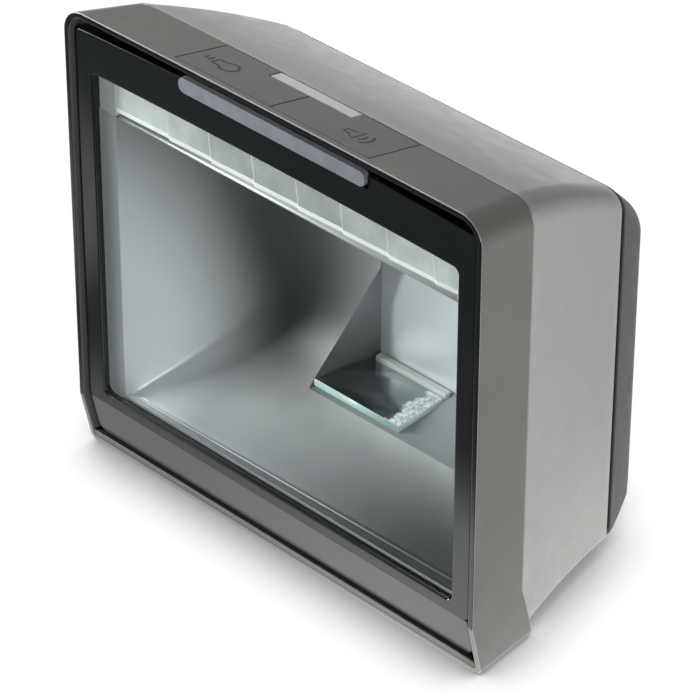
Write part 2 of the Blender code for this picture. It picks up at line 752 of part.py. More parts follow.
# Optical tray: a scoop from the left and the foot, with a niche let into it for the mirror
FOOT_ROWS = (20.2, 21.8, 24.0, 26.8, 30.0, NICHE_FLOOR)
WALL_ROWS = (36.5, RAMP_TOP, 43.0, 47.5, 53.0, 60.0, 69.0, 81.0, 95.0, TRAY_TOP)
LEFT_COLUMNS = 13
NICHE_COLUMNS = 3
RIGHT_COLUMNS = 5


def scoop_y(x, z):
    """Depth of the scoop: a curve from the left and one from the foot, meeting in a valley."""
    reach = SCOOP_BACK - TRAY_RIM
    shelf = (SHELF_BACK + SHELF_GROWTH * (x - TRAY_LEFT) - TRAY_RIM) / reach
    from_left = 1 - math.exp(-(x - TRAY_LEFT) / SCOOP_LENGTH_X)
    from_foot = 1 - (1 - shelf) * math.exp(-(z - TRAY_BOTTOM) / SCOOP_LENGTH_Z)
    if from_left < 1e-6:
        return TRAY_RIM
    sharpness = 4 + 16 * from_left**2
    return TRAY_RIM + reach * (from_left**-sharpness + from_foot**-sharpness) ** (-1 / sharpness)


def right_y(x, z):
    """Depth to the right of the niche: the scoop at the foot, then a ramp that meets the back wall."""
    if z <= NICHE_FLOOR:
        return scoop_y(x, z)
    foot = scoop_y(x, NICHE_FLOOR)
    return foot + (NICHE_BACK - foot) * min(1.0, (z - NICHE_FLOOR) / (RAMP_TOP - NICHE_FLOOR))


def niche_edge(z, start, lean, depth):
    """Where the surface beside the niche meets one of its upright side walls."""
    x = start
    for _ in range(12):
        y = depth(x, z)
        x = start + lean * max(0.0, y - NICHE_FRONT)
    return x, y


def right_end(y):
    return TRAY_RIGHT - 0.05 * (y - TRAY_RIM)


def tray_mesh():
    bm = bmesh.new()
    quads = []

    def strip(low, high):
        for i in range(len(low) - 1):
            quads.append((low[i], low[i + 1], high[i + 1], high[i]))

    def left_row(z, end_x, end_y):
        row = []
        for i in range(LEFT_COLUMNS + 1):
            x = TRAY_LEFT + (end_x - TRAY_LEFT) * (i / LEFT_COLUMNS) ** 1.5
            row.append(bm.verts.new((x, end_y if i == LEFT_COLUMNS else scoop_y(x, z), z)))
        return row

    def right_row(z, start):
        row = [start]
        for i in range(1, RIGHT_COLUMNS + 1):
            x = start.co.x + (right_end(SCOOP_BACK) - start.co.x) * i / RIGHT_COLUMNS
            row.append(bm.verts.new((x, right_y(x, z), z)))
        return row

    full = []
    for z in FOOT_ROWS:
        left = left_row(z, NICHE_LEFT, scoop_y(NICHE_LEFT, z))
        right = right_row(z, bm.verts.new((NICHE_RIGHT, scoop_y(NICHE_RIGHT, z), z)))
        middle = []
        for i in range(1, NICHE_COLUMNS):
            x = NICHE_LEFT + (NICHE_RIGHT - NICHE_LEFT) * i / NICHE_COLUMNS
            middle.append(bm.verts.new((x, scoop_y(x, z), z)))
        full.append((left, middle, right))
    for low, high in zip(full, full[1:]):
        strip(low[0] + low[1] + low[2], high[0] + high[1] + high[2])
    # Floor and back of the niche
    span = NICHE_BACK - NICHE_FRONT
    back_left = NICHE_LEFT + NICHE_LEFT_LEAN * span
    back_right = NICHE_RIGHT + NICHE_RIGHT_LEAN * span
    back_foot = NICHE_FLOOR + NICHE_RISE * span
    walls = []
    for z in (NICHE_FLOOR, *WALL_ROWS):
        height = max(z, back_foot + (RAMP_TOP - back_foot) * (z - NICHE_FLOOR) / (RAMP_TOP - NICHE_FLOOR))
        row = []
        for i in range(NICHE_COLUMNS + 1):
            x = back_left + (back_right - back_left) * i / NICHE_COLUMNS
            row.append(bm.verts.new((x, NICHE_BACK, height)))
        walls.append(row)
    strip([full[-1][0][-1], *full[-1][1], full[-1][2][0]], walls[0])
    for low, high in zip(walls, walls[1:]):
        strip(low, high)
    # Surfaces beside the niche and its side walls
    left_rows = [full[-1][0]]
    right_rows = [full[-1][2]]
    for z, wall in zip(WALL_ROWS, walls[1:]):
        left_rows.append(left_row(z, *niche_edge(z, NICHE_LEFT, NICHE_LEFT_LEAN, scoop_y)))
        if z < RAMP_TOP:
            start = bm.verts.new((*niche_edge(z, NICHE_RIGHT, NICHE_RIGHT_LEAN, right_y), z))
        else:
            start = wall[-1]
        right_rows.append(right_row(z, start))
    for rows in (left_rows, right_rows):
        for low, high in zip(rows, rows[1:]):
            strip(low, high)
    strip([row[-1] for row in left_rows], [row[0] for row in walls])
    strip([row[-1] for row in walls], [row[0] for row in right_rows])
    # Right wall, foot shelf and ceiling
    deep_right = [row[2][-1] for row in full[:-1]] + [row[-1] for row in right_rows]
    rim_right = [bm.verts.new((TRAY_RIGHT, TRAY_RIM, vert.co.z)) for vert in deep_right]
    strip(deep_right, rim_right)
    shelf = (full[0][0] + full[0][1] + full[0][2])[1:]
    rim_foot = [full[0][0][0]] + [bm.verts.new((vert.co.x, TRAY_RIM, TRAY_BOTTOM)) for vert in shelf[:-1]]
    rim_foot.append(rim_right[0])
    quads.append((rim_foot[0], rim_foot[1], shelf[0]))
    strip(rim_foot[1:], shelf)
    quads.append((*left_rows[-1], *walls[-1], *right_rows[-1], rim_right[-1]))
    # Flange round the left, foot and right of the rim
    rim_left = [row[0][0] for row in full[:-1]] + [row[0] for row in left_rows]
    rim = list(reversed(rim_left)) + rim_foot[1:] + rim_right[1:]
    outer = []
    for vert in rim:
        x, _, z = vert.co
        if x < TRAY_LEFT + 0.01:
            x = -TRAY_FLANGE_X
        if x > TRAY_RIGHT - 0.01:
            x = TRAY_FLANGE_X
        outer.append(bm.verts.new((x, TRAY_RIM, TRAY_FLANGE_Z if z < TRAY_BOTTOM + 0.01 else z)))
    strip(rim, outer)
    for quad in quads:
        corners = list(dict.fromkeys(quad))
        if len(corners) > 2:
            bm.faces.new(corners)
    bmesh.ops.recalc_face_normals(bm, faces=bm.faces)
    bm.normal_update()
    back = max(bm.faces, key=lambda face: face.calc_center_median().y)
    if back.normal.y > 0:
        bmesh.ops.reverse_faces(bm, faces=bm.faces)
    return to_mesh("optical_tray", bm, outward=False)


tray = place("optical_tray", tray_mesh(), ((0.5, 0.52, 0.53), 0.45, 0.0), smooth=False)
thicken(tray, TRAY_WALL)
boolean(tray, drum_mesh("camera_hole", 6.2, (0.0, CAMERA_Y, 108.0), 8.0, "Z", 32))

# Mirror plate on the niche floor and the ledge behind its back edge
plate_loop = ((-15.3, 32.7), (16.6, 32.7), (18.7, 48.2), (-8.7, 48.2))
bm = bmesh.new()
ends = []
for height in (MIRROR_GAP, MIRROR_GAP + MIRROR_THICK):
    ends.append(
        [bm.verts.new((x, y, NICHE_FLOOR + NICHE_RISE * (y - NICHE_FRONT) + height)) for x, y in plate_loop]
    )
for i in range(4):
    j = (i + 1) % 4
    bm.faces.new((ends[0][i], ends[0][j], ends[1][j], ends[1][i]))
bm.faces.new(ends[0])
bm.faces.new(ends[1])
mirror = place("lower_mirror", to_mesh("lower_mirror", bm), ((0.7, 0.8, 0.78), 0.05, 1.0))
bevel(mirror, 0.2, 1, 50)
ledge_profile = [(48.6, 36.7), (50.8, 37.1), (50.8, 40.1), (48.6, 39.9)]
ledge = place(
    "mirror_retainer", prism_mesh("mirror_retainer", ledge_profile, -7.6, 19.3), ((0.6, 0.61, 0.61), 0.4, 0.0)
)
bevel(ledge, 0.25, 1, 50)

# Ribbed diffuser, with the lamps behind it
ribs = []
RIB_COUNT = 9
DIFFUSER_HALF = 62.6
for i in range(RIB_COUNT):
    start = -DIFFUSER_HALF + 2 * DIFFUSER_HALF * i / RIB_COUNT
    end = -DIFFUSER_HALF + 2 * DIFFUSER_HALF * (i + 1) / RIB_COUNT
    ribs += [(start, 7.4), ((start + end) / 2, 8.7)]
diffuser_loop = [(DIFFUSER_HALF, TRAY_RIM), (DIFFUSER_HALF, 7.4), *reversed(ribs), (-DIFFUSER_HALF, TRAY_RIM)]
diffuser = place(
    "diffuser_bar",
    level_plate_mesh("diffuser_bar", diffuser_loop, 111.9, 124.4),
    ((0.9, 0.93, 0.92), 0.15, 0.0),
)
bevel(diffuser, 0.25, 1, 50)
place("led_board", box_mesh("led_board", (-60, 12.0, 113.8), (60, 13.2, 124.2)), (WHITE, 0.5, 0.0))
for i in range(4):
    x = -45.0 + 30.0 * i
    name = "illumination_led_%d" % (i + 1)
    lamp_mesh = box_mesh(name, (x - 2.2, 9.8, 116.4), (x + 2.2, 11.7, 120.8))
    lamp = place(name, lamp_mesh, ((0.9, 0.88, 0.6), 0.3, 0.0))
    bevel(lamp, 0.3, 2, 50)

# Camera above the niche, looking down at the mirror
holder = place(
    "lens_holder",
    box_mesh("lens_holder", (-7.5, CAMERA_Y - 7.5, 117.0), (7.5, CAMERA_Y + 7.5, 122.3)),
    (BLACK, 0.5, 0.0),
)
boolean(holder, drum_mesh("holder_bore", 5.3, (0.0, CAMERA_Y, 110.0), 20.0, "Z", 32))
bevel(holder, 0.4, 1, 50)
barrel = place(
    "lens_barrel", drum_mesh("lens_barrel", 5.0, (0.0, CAMERA_Y, 113.6), 8.2, "Z", 32), (BLACK, 0.35, 0.0)
)
boolean(barrel, drum_mesh("barrel_bore", 3.7, (0.0, CAMERA_Y, 110.0), 15.0, "Z", 28))
turned(
    "front_lens",
    [(0.0, 1.2), (1.8, 1.0), (3.0, 0.5), (3.4, 0.2), (3.4, -0.3), (2.4, -0.8), (1.2, -1.1), (0.0, -1.2)],
    ((0.8, 0.85, 0.9), 0.03, 0.0),
    (0.0, CAMERA_Y, 115.6),
    28,
)
place(
    "image_sensor",
    box_mesh("image_sensor", (-4, CAMERA_Y - 3.2, 122.6), (4, CAMERA_Y + 3.2, 123.5)),
    (BLACK, 0.2, 0.0),
)
place(
    "camera_board",
    box_mesh("camera_board", (-11, CAMERA_Y - 9, 123.8), (11, CAMERA_Y + 8.4, 124.8)),
    (BOARD_GREEN, 0.5, 0.0),
)


def ribbon_mesh(name, path, x_low, x_high, thick):
    """A flat flexible cable that follows a y-z path."""
    left = []
    right = []
    for i, point in enumerate(path):
        before = Vector(path[max(i - 1, 0)])
        after = Vector(path[min(i + 1, len(path) - 1)])
        along = (after - before).normalized()
        across = Vector((-along.y, along.x)) * thick / 2
        here = Vector(point)
        left.append(tuple(here + across))
        right.append(tuple(here - across))
    return prism_mesh(name, left + list(reversed(right)), x_low, x_high)


camera_path = (
    (42.9, 124.3),
    (46.0, 123.4),
    (50.5, 119.5),
    (55.5, 113.0),
    (59.6, 107.6),
    (60.6, 103.0),
    (60.6, 97.0),
)
place(
    "camera_ribbon", ribbon_mesh("camera_ribbon", camera_path, -6.0, 6.0, 0.3), ((0.75, 0.62, 0.35), 0.4, 0.0)
)
interface_path = (
    (60.0, 52.0),
    (61.2, 46.5),
    (65.0, 42.2),
    (70.0, 41.4),
    (74.2, 44.0),
    (76.2, 49.0),
    (76.5, 55.0),
)
place(
    "interface_ribbon",
    ribbon_mesh("interface_ribbon", interface_path, 18.0, 30.0, 0.3),
    ((0.8, 0.8, 0.78), 0.4, 0.0),
)

# The frame's origin is under the middle of the overall depth
for part in PARTS.objects:
    part.location.y -= HUMP_REAR / 2 * MM
for helper in CUTTERS.objects:
    helper.location.y -= HUMP_REAR / 2 * MM
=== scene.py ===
"""Looks for the upright barcode scanner: finer housings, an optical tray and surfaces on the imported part.

Lengths in the geometry helpers are millimetres in the part's own layout, with Y counted from the bezel's
front plane; place() converts them to the frame's metres.
"""

import math

import bmesh
import bpy
from mathutils import Matrix, Vector


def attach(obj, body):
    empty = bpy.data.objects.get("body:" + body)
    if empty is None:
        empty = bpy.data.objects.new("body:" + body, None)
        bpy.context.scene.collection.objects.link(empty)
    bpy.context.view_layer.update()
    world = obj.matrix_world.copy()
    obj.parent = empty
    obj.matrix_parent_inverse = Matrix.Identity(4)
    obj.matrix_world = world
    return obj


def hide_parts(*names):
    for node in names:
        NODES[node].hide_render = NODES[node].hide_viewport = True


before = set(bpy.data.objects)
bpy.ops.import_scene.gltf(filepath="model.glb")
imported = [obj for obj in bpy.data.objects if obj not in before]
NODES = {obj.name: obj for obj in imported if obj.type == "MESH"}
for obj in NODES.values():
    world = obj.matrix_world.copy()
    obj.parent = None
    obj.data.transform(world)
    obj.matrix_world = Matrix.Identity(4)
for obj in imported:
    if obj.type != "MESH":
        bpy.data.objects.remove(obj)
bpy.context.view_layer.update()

MM = 0.001
MIDDLE = 48.25

# Shape of the housings, as in the part
BEZEL_DEPTH = 21.2
BEZEL_WALL = 1.9
KINK_Z = 17.6
CHIN_LEAN = 4.0 / 17.6
REAR_LEAN = 5.0 / 17.6
BODY_FRONT = 21.5
BODY_REAR = 67.0
BODY_FLOOR = 4.6
PLATE_FRONT = 1.4
PLATE_BACK = 3.4
BUTTON_OUTER = 35.0
BAR_LEFT = -32.1
BAR_RIGHT = 35.5
TRAY_RIM = 5.8
TRAY_LEFT = -63.0
TRAY_RIGHT = 64.2
TRAY_BOTTOM = 20.2
TRAY_TOP = 110.4
TRAY_FLANGE_X = 69.6
TRAY_FLANGE_Z = 16.8
SCOOP_BACK = 50.4
SCOOP_LENGTH_X = 16.5
SCOOP_LENGTH_Z = 17.3
SHELF_BACK = 8.3
SHELF_GROWTH = 0.026
NICHE_FRONT = 32.2
NICHE_BACK = 51.2
NICHE_LEFT = -16.0
NICHE_RIGHT = 18.0
NICHE_LEFT_LEAN = 8.0 / (NICHE_BACK - NICHE_FRONT)
NICHE_RIGHT_LEAN = 2.0 / (NICHE_BACK - NICHE_FRONT)
NICHE_FLOOR = 33.3
NICHE_RISE = 3.4 / (NICHE_BACK - NICHE_FRONT)
RAMP_TOP = 39.5
MIRROR_GAP = 0.4
MIRROR_THICK = 2.3


# ---------------------------------------------------------------- node materials

# Sockets of a Mix node that mixes colours
MIX_FIRST = 6
MIX_SECOND = 7
MIX_RESULT = 2


class Nodes:
    """Adds nodes to a shader tree."""

    def __init__(self, tree):
        self.tree = tree

    def fill(self, node, inputs):
        """Sets a node's inputs, each to a plain value or to the socket that feeds it."""
        for key, value in inputs.items():
            socket = node.inputs[key]
            if isinstance(value, bpy.types.NodeSocket):
                self.tree.links.new(value, socket)
            else:
                socket.default_value = (*value, 1) if socket.type == "RGBA" else value

    def node(self, kind, inputs=None, **values):
        made = self.tree.nodes.new(kind)
        for key, value in values.items():
            setattr(made, key, value)
        self.fill(made, inputs or {})
        return made

    def mixed(self, operation, *values):
        """One arithmetic step on sockets or plain numbers."""
        return self.node("ShaderNodeMath", dict(enumerate(values)), operation=operation).outputs[0]

    def axes(self, vector):
        """The X, Y and Z sockets of a position."""
        return self.node("ShaderNodeSeparateXYZ", {0: vector}).outputs

    def ramp(self, value, stops):
        """Colours, or grey tones, at positions along a value."""
        made = self.node("ShaderNodeValToRGB", {"Fac": value})
        elements = made.color_ramp.elements
        while len(elements) < len(stops):
            elements.new(0.5)
        for element, (position, tone) in zip(elements, stops):
            element.position = position
            element.color = (*tone, 1) if isinstance(tone, tuple) else (tone, tone, tone, 1)
        return made.outputs["Color"]

    def spread(self, value, low, high, start=0.3, end=0.7, kind="LINEAR"):
        """Maps start..end onto low..high."""
        limits = {"Value": value, "From Min": start, "From Max": end, "To Min": low, "To Max": high}
        return self.node("ShaderNodeMapRange", limits, interpolation_type=kind).outputs["Result"]

    def eased(self, value, start, end, low, high):
        """Maps start..end onto low..high with soft ends."""
        return self.spread(value, low, high, start, end, "SMOOTHSTEP")


class Surface(Nodes):
    """Builds one Principled material out of procedural layers; lengths in the layers are metres."""

    def __init__(self, name, colour, roughness, metallic=0.0, specular=0.5):
        self.material = bpy.data.materials.new(name)
        self.material.use_nodes = True
        self.material.diffuse_color = (*colour, 1)
        super().__init__(self.material.node_tree)
        self.shader = self.tree.nodes["Principled BSDF"]
        self.colour = colour
        self.roughness = roughness
        self.look({"Base Color": colour, "Roughness": roughness, "Metallic": metallic})
        self.look({"Specular IOR Level": specular})
        self.place = self.node("ShaderNodeTexCoord").outputs["Object"]
        self.normal = None

    def look(self, inputs):
        """Sets inputs of the Principled shader."""
        self.fill(self.shader, inputs)

    def stretched(self, scale):
        return self.node("ShaderNodeMapping", {"Vector": self.place, "Scale": scale}).outputs["Vector"]

    def noise(self, per_metre, detail=3.0, rough=0.55, stretch=(1, 1, 1)):
        inputs = {"Scale": per_metre, "Detail": detail, "Roughness": rough, "Vector": self.stretched(stretch)}
        return self.node("ShaderNodeTexNoise", inputs).outputs["Fac"]

    def cells(self, per_metre):
        inputs = {"Scale": per_metre, "Vector": self.place}
        return self.node("ShaderNodeTexVoronoi", inputs).outputs["Distance"]

    def base(self):
        """The socket that feeds the base colour."""
        return self.shader.inputs["Base Color"].links[0].from_socket

    def blended(self, share, first, second):
        """Mixes two colours, each a socket or a plain colour, into the base colour."""
        inputs = {0: share, MIX_FIRST: first, MIX_SECOND: second}
        self.look({"Base Color": self.node("ShaderNodeMix", inputs, data_type="RGBA").outputs[MIX_RESULT]})

    def scaled(self, share):
        """Scales the base colour by a share."""
        made = self.node("ShaderNodeVectorMath", {0: self.base(), "Scale": share}, operation="SCALE")
        self.look({"Base Color": made.outputs[0]})

    def output(self, shader):
        """Sends a shader to the material's surface in place of the Principled one."""
        self.fill(self.tree.nodes["Material Output"], {"Surface": shader})

    def mottle(self, per_metre, amount):
        """Varies the base colour up and down by an amount."""
        low = tuple(c * (1 - amount) for c in self.colour)
        high = tuple(min(1.0, c * (1 + amount)) for c in self.colour)
        self.look({"Base Color": self.ramp(self.noise(per_metre), [(0.3, low), (0.7, high)])})

    def wear(self, per_metre, amount, stretch=(1, 1, 1)):
        """Varies the roughness, so reflections are uneven."""
        value = self.noise(per_metre, 4.0, 0.6, stretch)
        self.look({"Roughness": self.spread(value, self.roughness - amount, self.roughness + amount)})

    def bump(self, height, depth_mm, strength):
        """Adds relief on top of any relief already there."""
        inputs = {"Strength": strength, "Distance": depth_mm * MM, "Height": height}
        if self.normal is not None:
            inputs["Normal"] = self.normal
        self.normal = self.node("ShaderNodeBump", inputs).outputs["Normal"]
        self.look({"Normal": self.normal})


def moulded(name, colour, roughness, grain=0.035):
    """Spark-eroded plastic: a fine pebble grain, faint flow mottling, uneven sheen."""
    made = Surface(name, colour, roughness)
    made.mottle(55, 0.05)
    made.wear(320, 0.05)
    made.bump(made.noise(2600, 2.0), grain, 0.6)
    made.bump(made.cells(1560), grain * 0.6, 0.35)
    return made


FLAKE_DARK = (0.365, 0.361, 0.35)
FLAKE_LIGHT = (0.43, 0.426, 0.414)


def silver_coat():
    """Satin metallic paint with fine flakes."""
    made = Surface("satin_silver_coat", (0.4, 0.396, 0.385), 0.4, metallic=0.5)
    flakes = made.ramp(made.noise(5200, 1.0, 0.5), [(0.35, FLAKE_DARK), (0.68, FLAKE_LIGHT)])
    made.look({"Base Color": flakes})
    made.wear(180, 0.05)
    made.bump(made.noise(2400, 2.0), 0.012, 0.5)
    made.bump(made.noise(90, 2.0), 0.05, 0.12)
    return made


# The mirror's ragged bright end, a painted glow standing in for light refracted at the cut end, starts at X =
# RAGGED_START and leans with depth
RAGGED_START = 0.0178
RAGGED_FULL = 0.0192
RAGGED_LEAN = -0.12
RAGGED_DEPTH = 0.009
FLECK_DARK = (0.3, 0.38, 0.37)
FLECK_LIGHT = (0.9, 0.97, 0.95)
PAINTED_GLOW = 0.35


def mirror_glass():
    """Dark reflecting plate whose right-hand cut end carries a ragged band of painted light: bright flecks
    that glow, standing in for refracted light.
    """
    made = Surface("mirror_silvering", (0.42, 0.46, 0.47), 0.18, metallic=1.0)
    made.mottle(160, 0.07)
    made.wear(500, 0.03)
    at = made.axes(made.place)
    ragged = made.mixed("MULTIPLY_ADD", made.noise(330, 5.0, 0.65), RAGGED_DEPTH, at["X"])
    slanted = made.mixed("MULTIPLY_ADD", at["Y"], RAGGED_LEAN, ragged)
    band = made.eased(slanted, RAGGED_START, RAGGED_FULL, 0.0, 1.0)
    flecks = made.ramp(made.noise(900, 4.0, 0.7), [(0.35, FLECK_DARK), (0.62, FLECK_LIGHT)])
    made.blended(band, made.base(), flecks)
    made.look({"Metallic": made.mixed("MULTIPLY_ADD", band, -0.9, 1.0)})
    # Painted light: the band glows though the glass is no lamp
    made.look({"Emission Color": flecks, "Emission Strength": made.mixed("MULTIPLY", band, PAINTED_GLOW)})
    return made


# Painted reflection on the black frame: its shine is strongest at the foot and fades towards the top
PAINTED_SHINE_FOOT = 0.015
PAINTED_SHINE_TOP = 0.135


def polished_black():
    """Glossy black with specks of dust, and a painted reflection that grows stronger towards the foot."""
    made = Surface("polished_black", (0.0105, 0.0125, 0.0135), 0.14, specular=0.45)
    made.mottle(40, 0.12)
    dust = made.ramp(made.noise(900, 6.0, 0.75), [(0.66, 0.0), (0.74, 1.0)])
    # Painted reflection: the specular level falls with height
    sheen = made.eased(made.axes(made.place)["Z"], PAINTED_SHINE_FOOT, PAINTED_SHINE_TOP, 0.75, 0.22)
    made.look({"Roughness": made.spread(dust, 0.13, 0.4, 0.0, 1.0), "Specular IOR Level": sheen})
    made.bump(made.noise(60, 2.0), 0.03, 0.05)
    return made


def satin_tray(name, tone):
    """Satin plastic of the scoop and its niche."""
    made = Surface(name, (tone, tone * 1.03, tone * 1.05), 0.38, metallic=0.3)
    made.mottle(28, 0.04)
    made.wear(140, 0.04)
    made.bump(made.noise(2100, 2.0), 0.008, 0.4)
    made.bump(made.noise(45, 2.0), 0.05, 0.1)
    return made


def climbing_tray(name, tone, low, high, low_share, high_share):
    """Satin plastic with painted shade: dark low down, growing lighter from one height to another."""
    made = satin_tray(name, tone)
    made.scaled(made.eased(made.axes(made.place)["Z"], low, high, low_share, high_share))
    return made


# Painted shade in the middle of the scoop: its leaning axis and how far it reaches to each side
DEEP_AXIS = -0.0165
DEEP_LEAN = 0.35
DEEP_LEFT = 0.026
DEEP_RIGHT = 0.045
DEEP_FOOT = (0.024, 0.04)
DEEP_SHADE_SHARE = -0.86
# Painted shade along the foot of the scoop, growing to the right
FOOT_RIGHTWARD = (-0.036, 0.052)
FOOT_HEIGHT = (0.0205, 0.041)
FOOT_SHADE_SHARE = -0.88
# Painted light towards the left rim, which lightens it
RIM_PAINTED_LIGHT_SPAN = (-0.062, -0.036)
RIM_LIGHT = 1.95
RIM_INNER = 1.04


def scoop_tray():
    """Satin plastic of the scoop, with painted shade in its deep middle and along its foot and painted light
    at its left rim.
    """
    made = satin_tray("tray_satin_grey", 0.5)
    at = made.axes(made.place)
    across = made.mixed("MULTIPLY_ADD", at["Z"], DEEP_LEAN, at["X"])
    left = made.eased(across, DEEP_AXIS - DEEP_LEFT, DEEP_AXIS, 0.0, 1.0)
    right = made.eased(across, DEEP_AXIS, DEEP_AXIS + DEEP_RIGHT, 1.0, 0.0)
    above = made.eased(at["Z"], *DEEP_FOOT, 0.0, 1.0)
    deep = made.mixed("MULTIPLY", made.mixed("MULTIPLY", left, right), above)
    middle = made.mixed("MULTIPLY_ADD", deep, DEEP_SHADE_SHARE, 1.0)
    rightward = made.eased(at["X"], *FOOT_RIGHTWARD, 0.0, 1.0)
    low = made.eased(at["Z"], *FOOT_HEIGHT, 1.0, 0.0)
    foot = made.mixed("MULTIPLY_ADD", made.mixed("MULTIPLY", rightward, low), FOOT_SHADE_SHARE, 1.0)
    rim = made.eased(at["X"], *RIM_PAINTED_LIGHT_SPAN, RIM_LIGHT, RIM_INNER)
    # Scale the base colour by the painted shade and the painted light
    made.scaled(made.mixed("MULTIPLY", made.mixed("MULTIPLY", middle, foot), rim))
    return made


WINDOW_REFLECTION = 0.28


def clear_window():
    """Coated flat glass: see-through, with a restrained reflection and a trace of dust."""
    made = Surface("window_glass", (0.9, 0.95, 0.94), 0.02)
    clear = made.node("ShaderNodeBsdfTransparent", {"Color": (0.965, 0.98, 0.975)})
    gloss = made.node("ShaderNodeBsdfGlossy", {"Roughness": 0.015, "Color": (0.9, 0.95, 1.0)})
    haze = made.node("ShaderNodeBsdfDiffuse", {"Color": (0.8, 0.83, 0.84)})
    edge = made.node("ShaderNodeLayerWeight", {"Blend": 0.12})
    share = made.mixed("MULTIPLY", edge.outputs["Fresnel"], WINDOW_REFLECTION)
    coated = made.node("ShaderNodeMixShader", {0: share, 1: clear.outputs[0], 2: gloss.outputs[0]})
    film = made.ramp(made.noise(240, 8.0, 0.7), [(0.4, 0.001), (0.75, 0.004)])
    dusty = made.node("ShaderNodeMixShader", {0: film, 1: coated.outputs[0], 2: haze.outputs[0]})
    made.output(dusty.outputs[0])
    return made


def light_pipe(name, colour, glow, roughness=0.22):
    """Milky plastic with a painted glow: emission that brightens it as though lit, though it is no lamp."""
    made = Surface(name, colour, roughness)
    made.mottle(130, 0.06)
    made.look({"Subsurface Weight": 0.35, "Subsurface Radius": (0.002, 0.002, 0.0024)})
    # Painted glow: the emission stands in for light the plastic catches
    made.look({"Subsurface Scale": 0.8, "Emission Color": colour, "Emission Strength": glow})
    made.bump(made.noise(1500, 2.0), 0.02, 0.25)
    return made


def ribbed_diffuser():
    """Mottled light pipe that is brighter towards its left and right ends."""
    made = light_pipe("diffuser_clear", (0.43, 0.462, 0.445), 0.09)
    made.mottle(95, 0.2)
    made.wear(300, 0.08)
    sideways = made.mixed("ABSOLUTE", made.axes(made.place)["X"])
    made.scaled(made.eased(sideways, 0.012, 0.06, 0.92, 1.45))
    return made


# Depths between which the light bar turns from its pale face to the painted shade of its deep blue shelf
BAR_PALE = -0.0462
BAR_DEEP = -0.0458


def light_bar():
    """Bluish light pipe: pale at its face, with painted shade that turns it deep blue along the shelf behind
    it.
    """
    made = Surface("bar_blue", (0.22, 0.24, 0.27), 0.25)
    share = made.spread(made.axes(made.place)["Y"], 0.0, 1.0, BAR_PALE, BAR_DEEP)
    grain = made.ramp(made.noise(260, 4.0), [(0.3, (0.19, 0.21, 0.25)), (0.7, (0.235, 0.255, 0.29))])
    # Painted shade: darker blue along the shelf
    made.blended(share, grain, (0.05, 0.085, 0.13))
    made.bump(made.noise(1500, 2.0), 0.02, 0.25)
    return made


PAD_GOLD = (0.72, 0.68, 0.5)


def board_mask(name, colour):
    """Solder mask with traces, vias and pads showing through it."""
    made = Surface(name, colour, 0.34)
    turn = made.node("ShaderNodeMapping", {"Vector": made.place, "Rotation": (math.pi / 2, 0, 0)})
    darker = tuple(c * 0.8 for c in colour)
    lighter = tuple(min(1, c * 1.9 + 0.02) for c in colour)
    tones = {"Color1": colour, "Color2": darker, "Mortar": lighter}
    traces = {"Vector": turn.outputs["Vector"], "Scale": 210, "Mortar Size": 0.035, **tones}
    trace = made.node("ShaderNodeTexBrick", traces)
    pads = made.ramp(made.cells(520), [(0.12, 1.0), (0.16, 0.0)])
    made.blended(pads, trace.outputs["Color"], PAD_GOLD)
    made.bump(trace.outputs["Fac"], 0.03, 0.4)
    return made


def bare_metal(name, colour, roughness, stretch=(1, 1, 1)):
    """Metal whose fine scratches may be stretched along an axis."""
    made = Surface(name, colour, roughness, metallic=1.0)
    made.mottle(160, 0.07)
    made.wear(900, 0.08, stretch)
    made.bump(made.noise(1800, 3.0, 0.6, stretch), 0.012, 0.4)
    return made


def rubber(name, tone):
    """Matt black rubber."""
    made = Surface(name, (tone, tone, tone * 1.05), 0.82, specular=0.3)
    made.mottle(220, 0.16)
    made.wear(500, 0.08)
    made.bump(made.noise(3000, 3.0), 0.04, 0.6)
    return made


# ---------------------------------------------------------------- mesh helpers


def add(name, data):
    """A new object in the scene."""
    made = bpy.data.objects.new(name, data)
    bpy.context.scene.collection.objects.link(made)
    return made


def add_mesh(name, bm):
    """A new object in the scene out of a bmesh, which is used up."""
    mesh = bpy.data.meshes.new(name)
    bm.to_mesh(mesh)
    bm.free()
    return add(name, mesh)


def place(name, bm, looks, body="housing", replaces=None, smooth=True, closed=True):
    """Turns a millimetre bmesh into a piece that rides on a body of the part.

    A piece stands in for the node it replaces, or adds to the node whose slot it shares.
    """
    if closed:
        bmesh.ops.recalc_face_normals(bm, faces=bm.faces)
    for vert in bm.verts:
        vert.co = Vector((vert.co.x, vert.co.y - MIDDLE, vert.co.z)) * MM
    piece = add_mesh(name, bm)
    for look in looks:
        piece.data.materials.append(look.material)
    for face in piece.data.polygons:
        face.use_smooth = smooth
    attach(piece, body)
    if replaces:
        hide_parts(replaces)
    return piece


def crisp(piece, width=0.0):
    """Rounds the hard edges by a width, if there is one, and weights the normals to the large faces."""
    if width:
        bevel = piece.modifiers.new("edges", "BEVEL")
        bevel.width = width * MM
        bevel.segments = 2
        bevel.limit_method = "ANGLE"
        bevel.angle_limit = math.radians(30)
        bevel.harden_normals = False
    weighted = piece.modifiers.new("normals", "WEIGHTED_NORMAL")
    weighted.keep_sharp = True
    weighted.weight = 50


def sharpen(bm, degrees):
    """Marks edges sharper than an angle, so smooth shading stops at them."""
    bm.normal_update()
    for edge in bm.edges:
        if len(edge.link_faces) == 2 and edge.calc_face_angle() > math.radians(degrees):
            edge.smooth = False


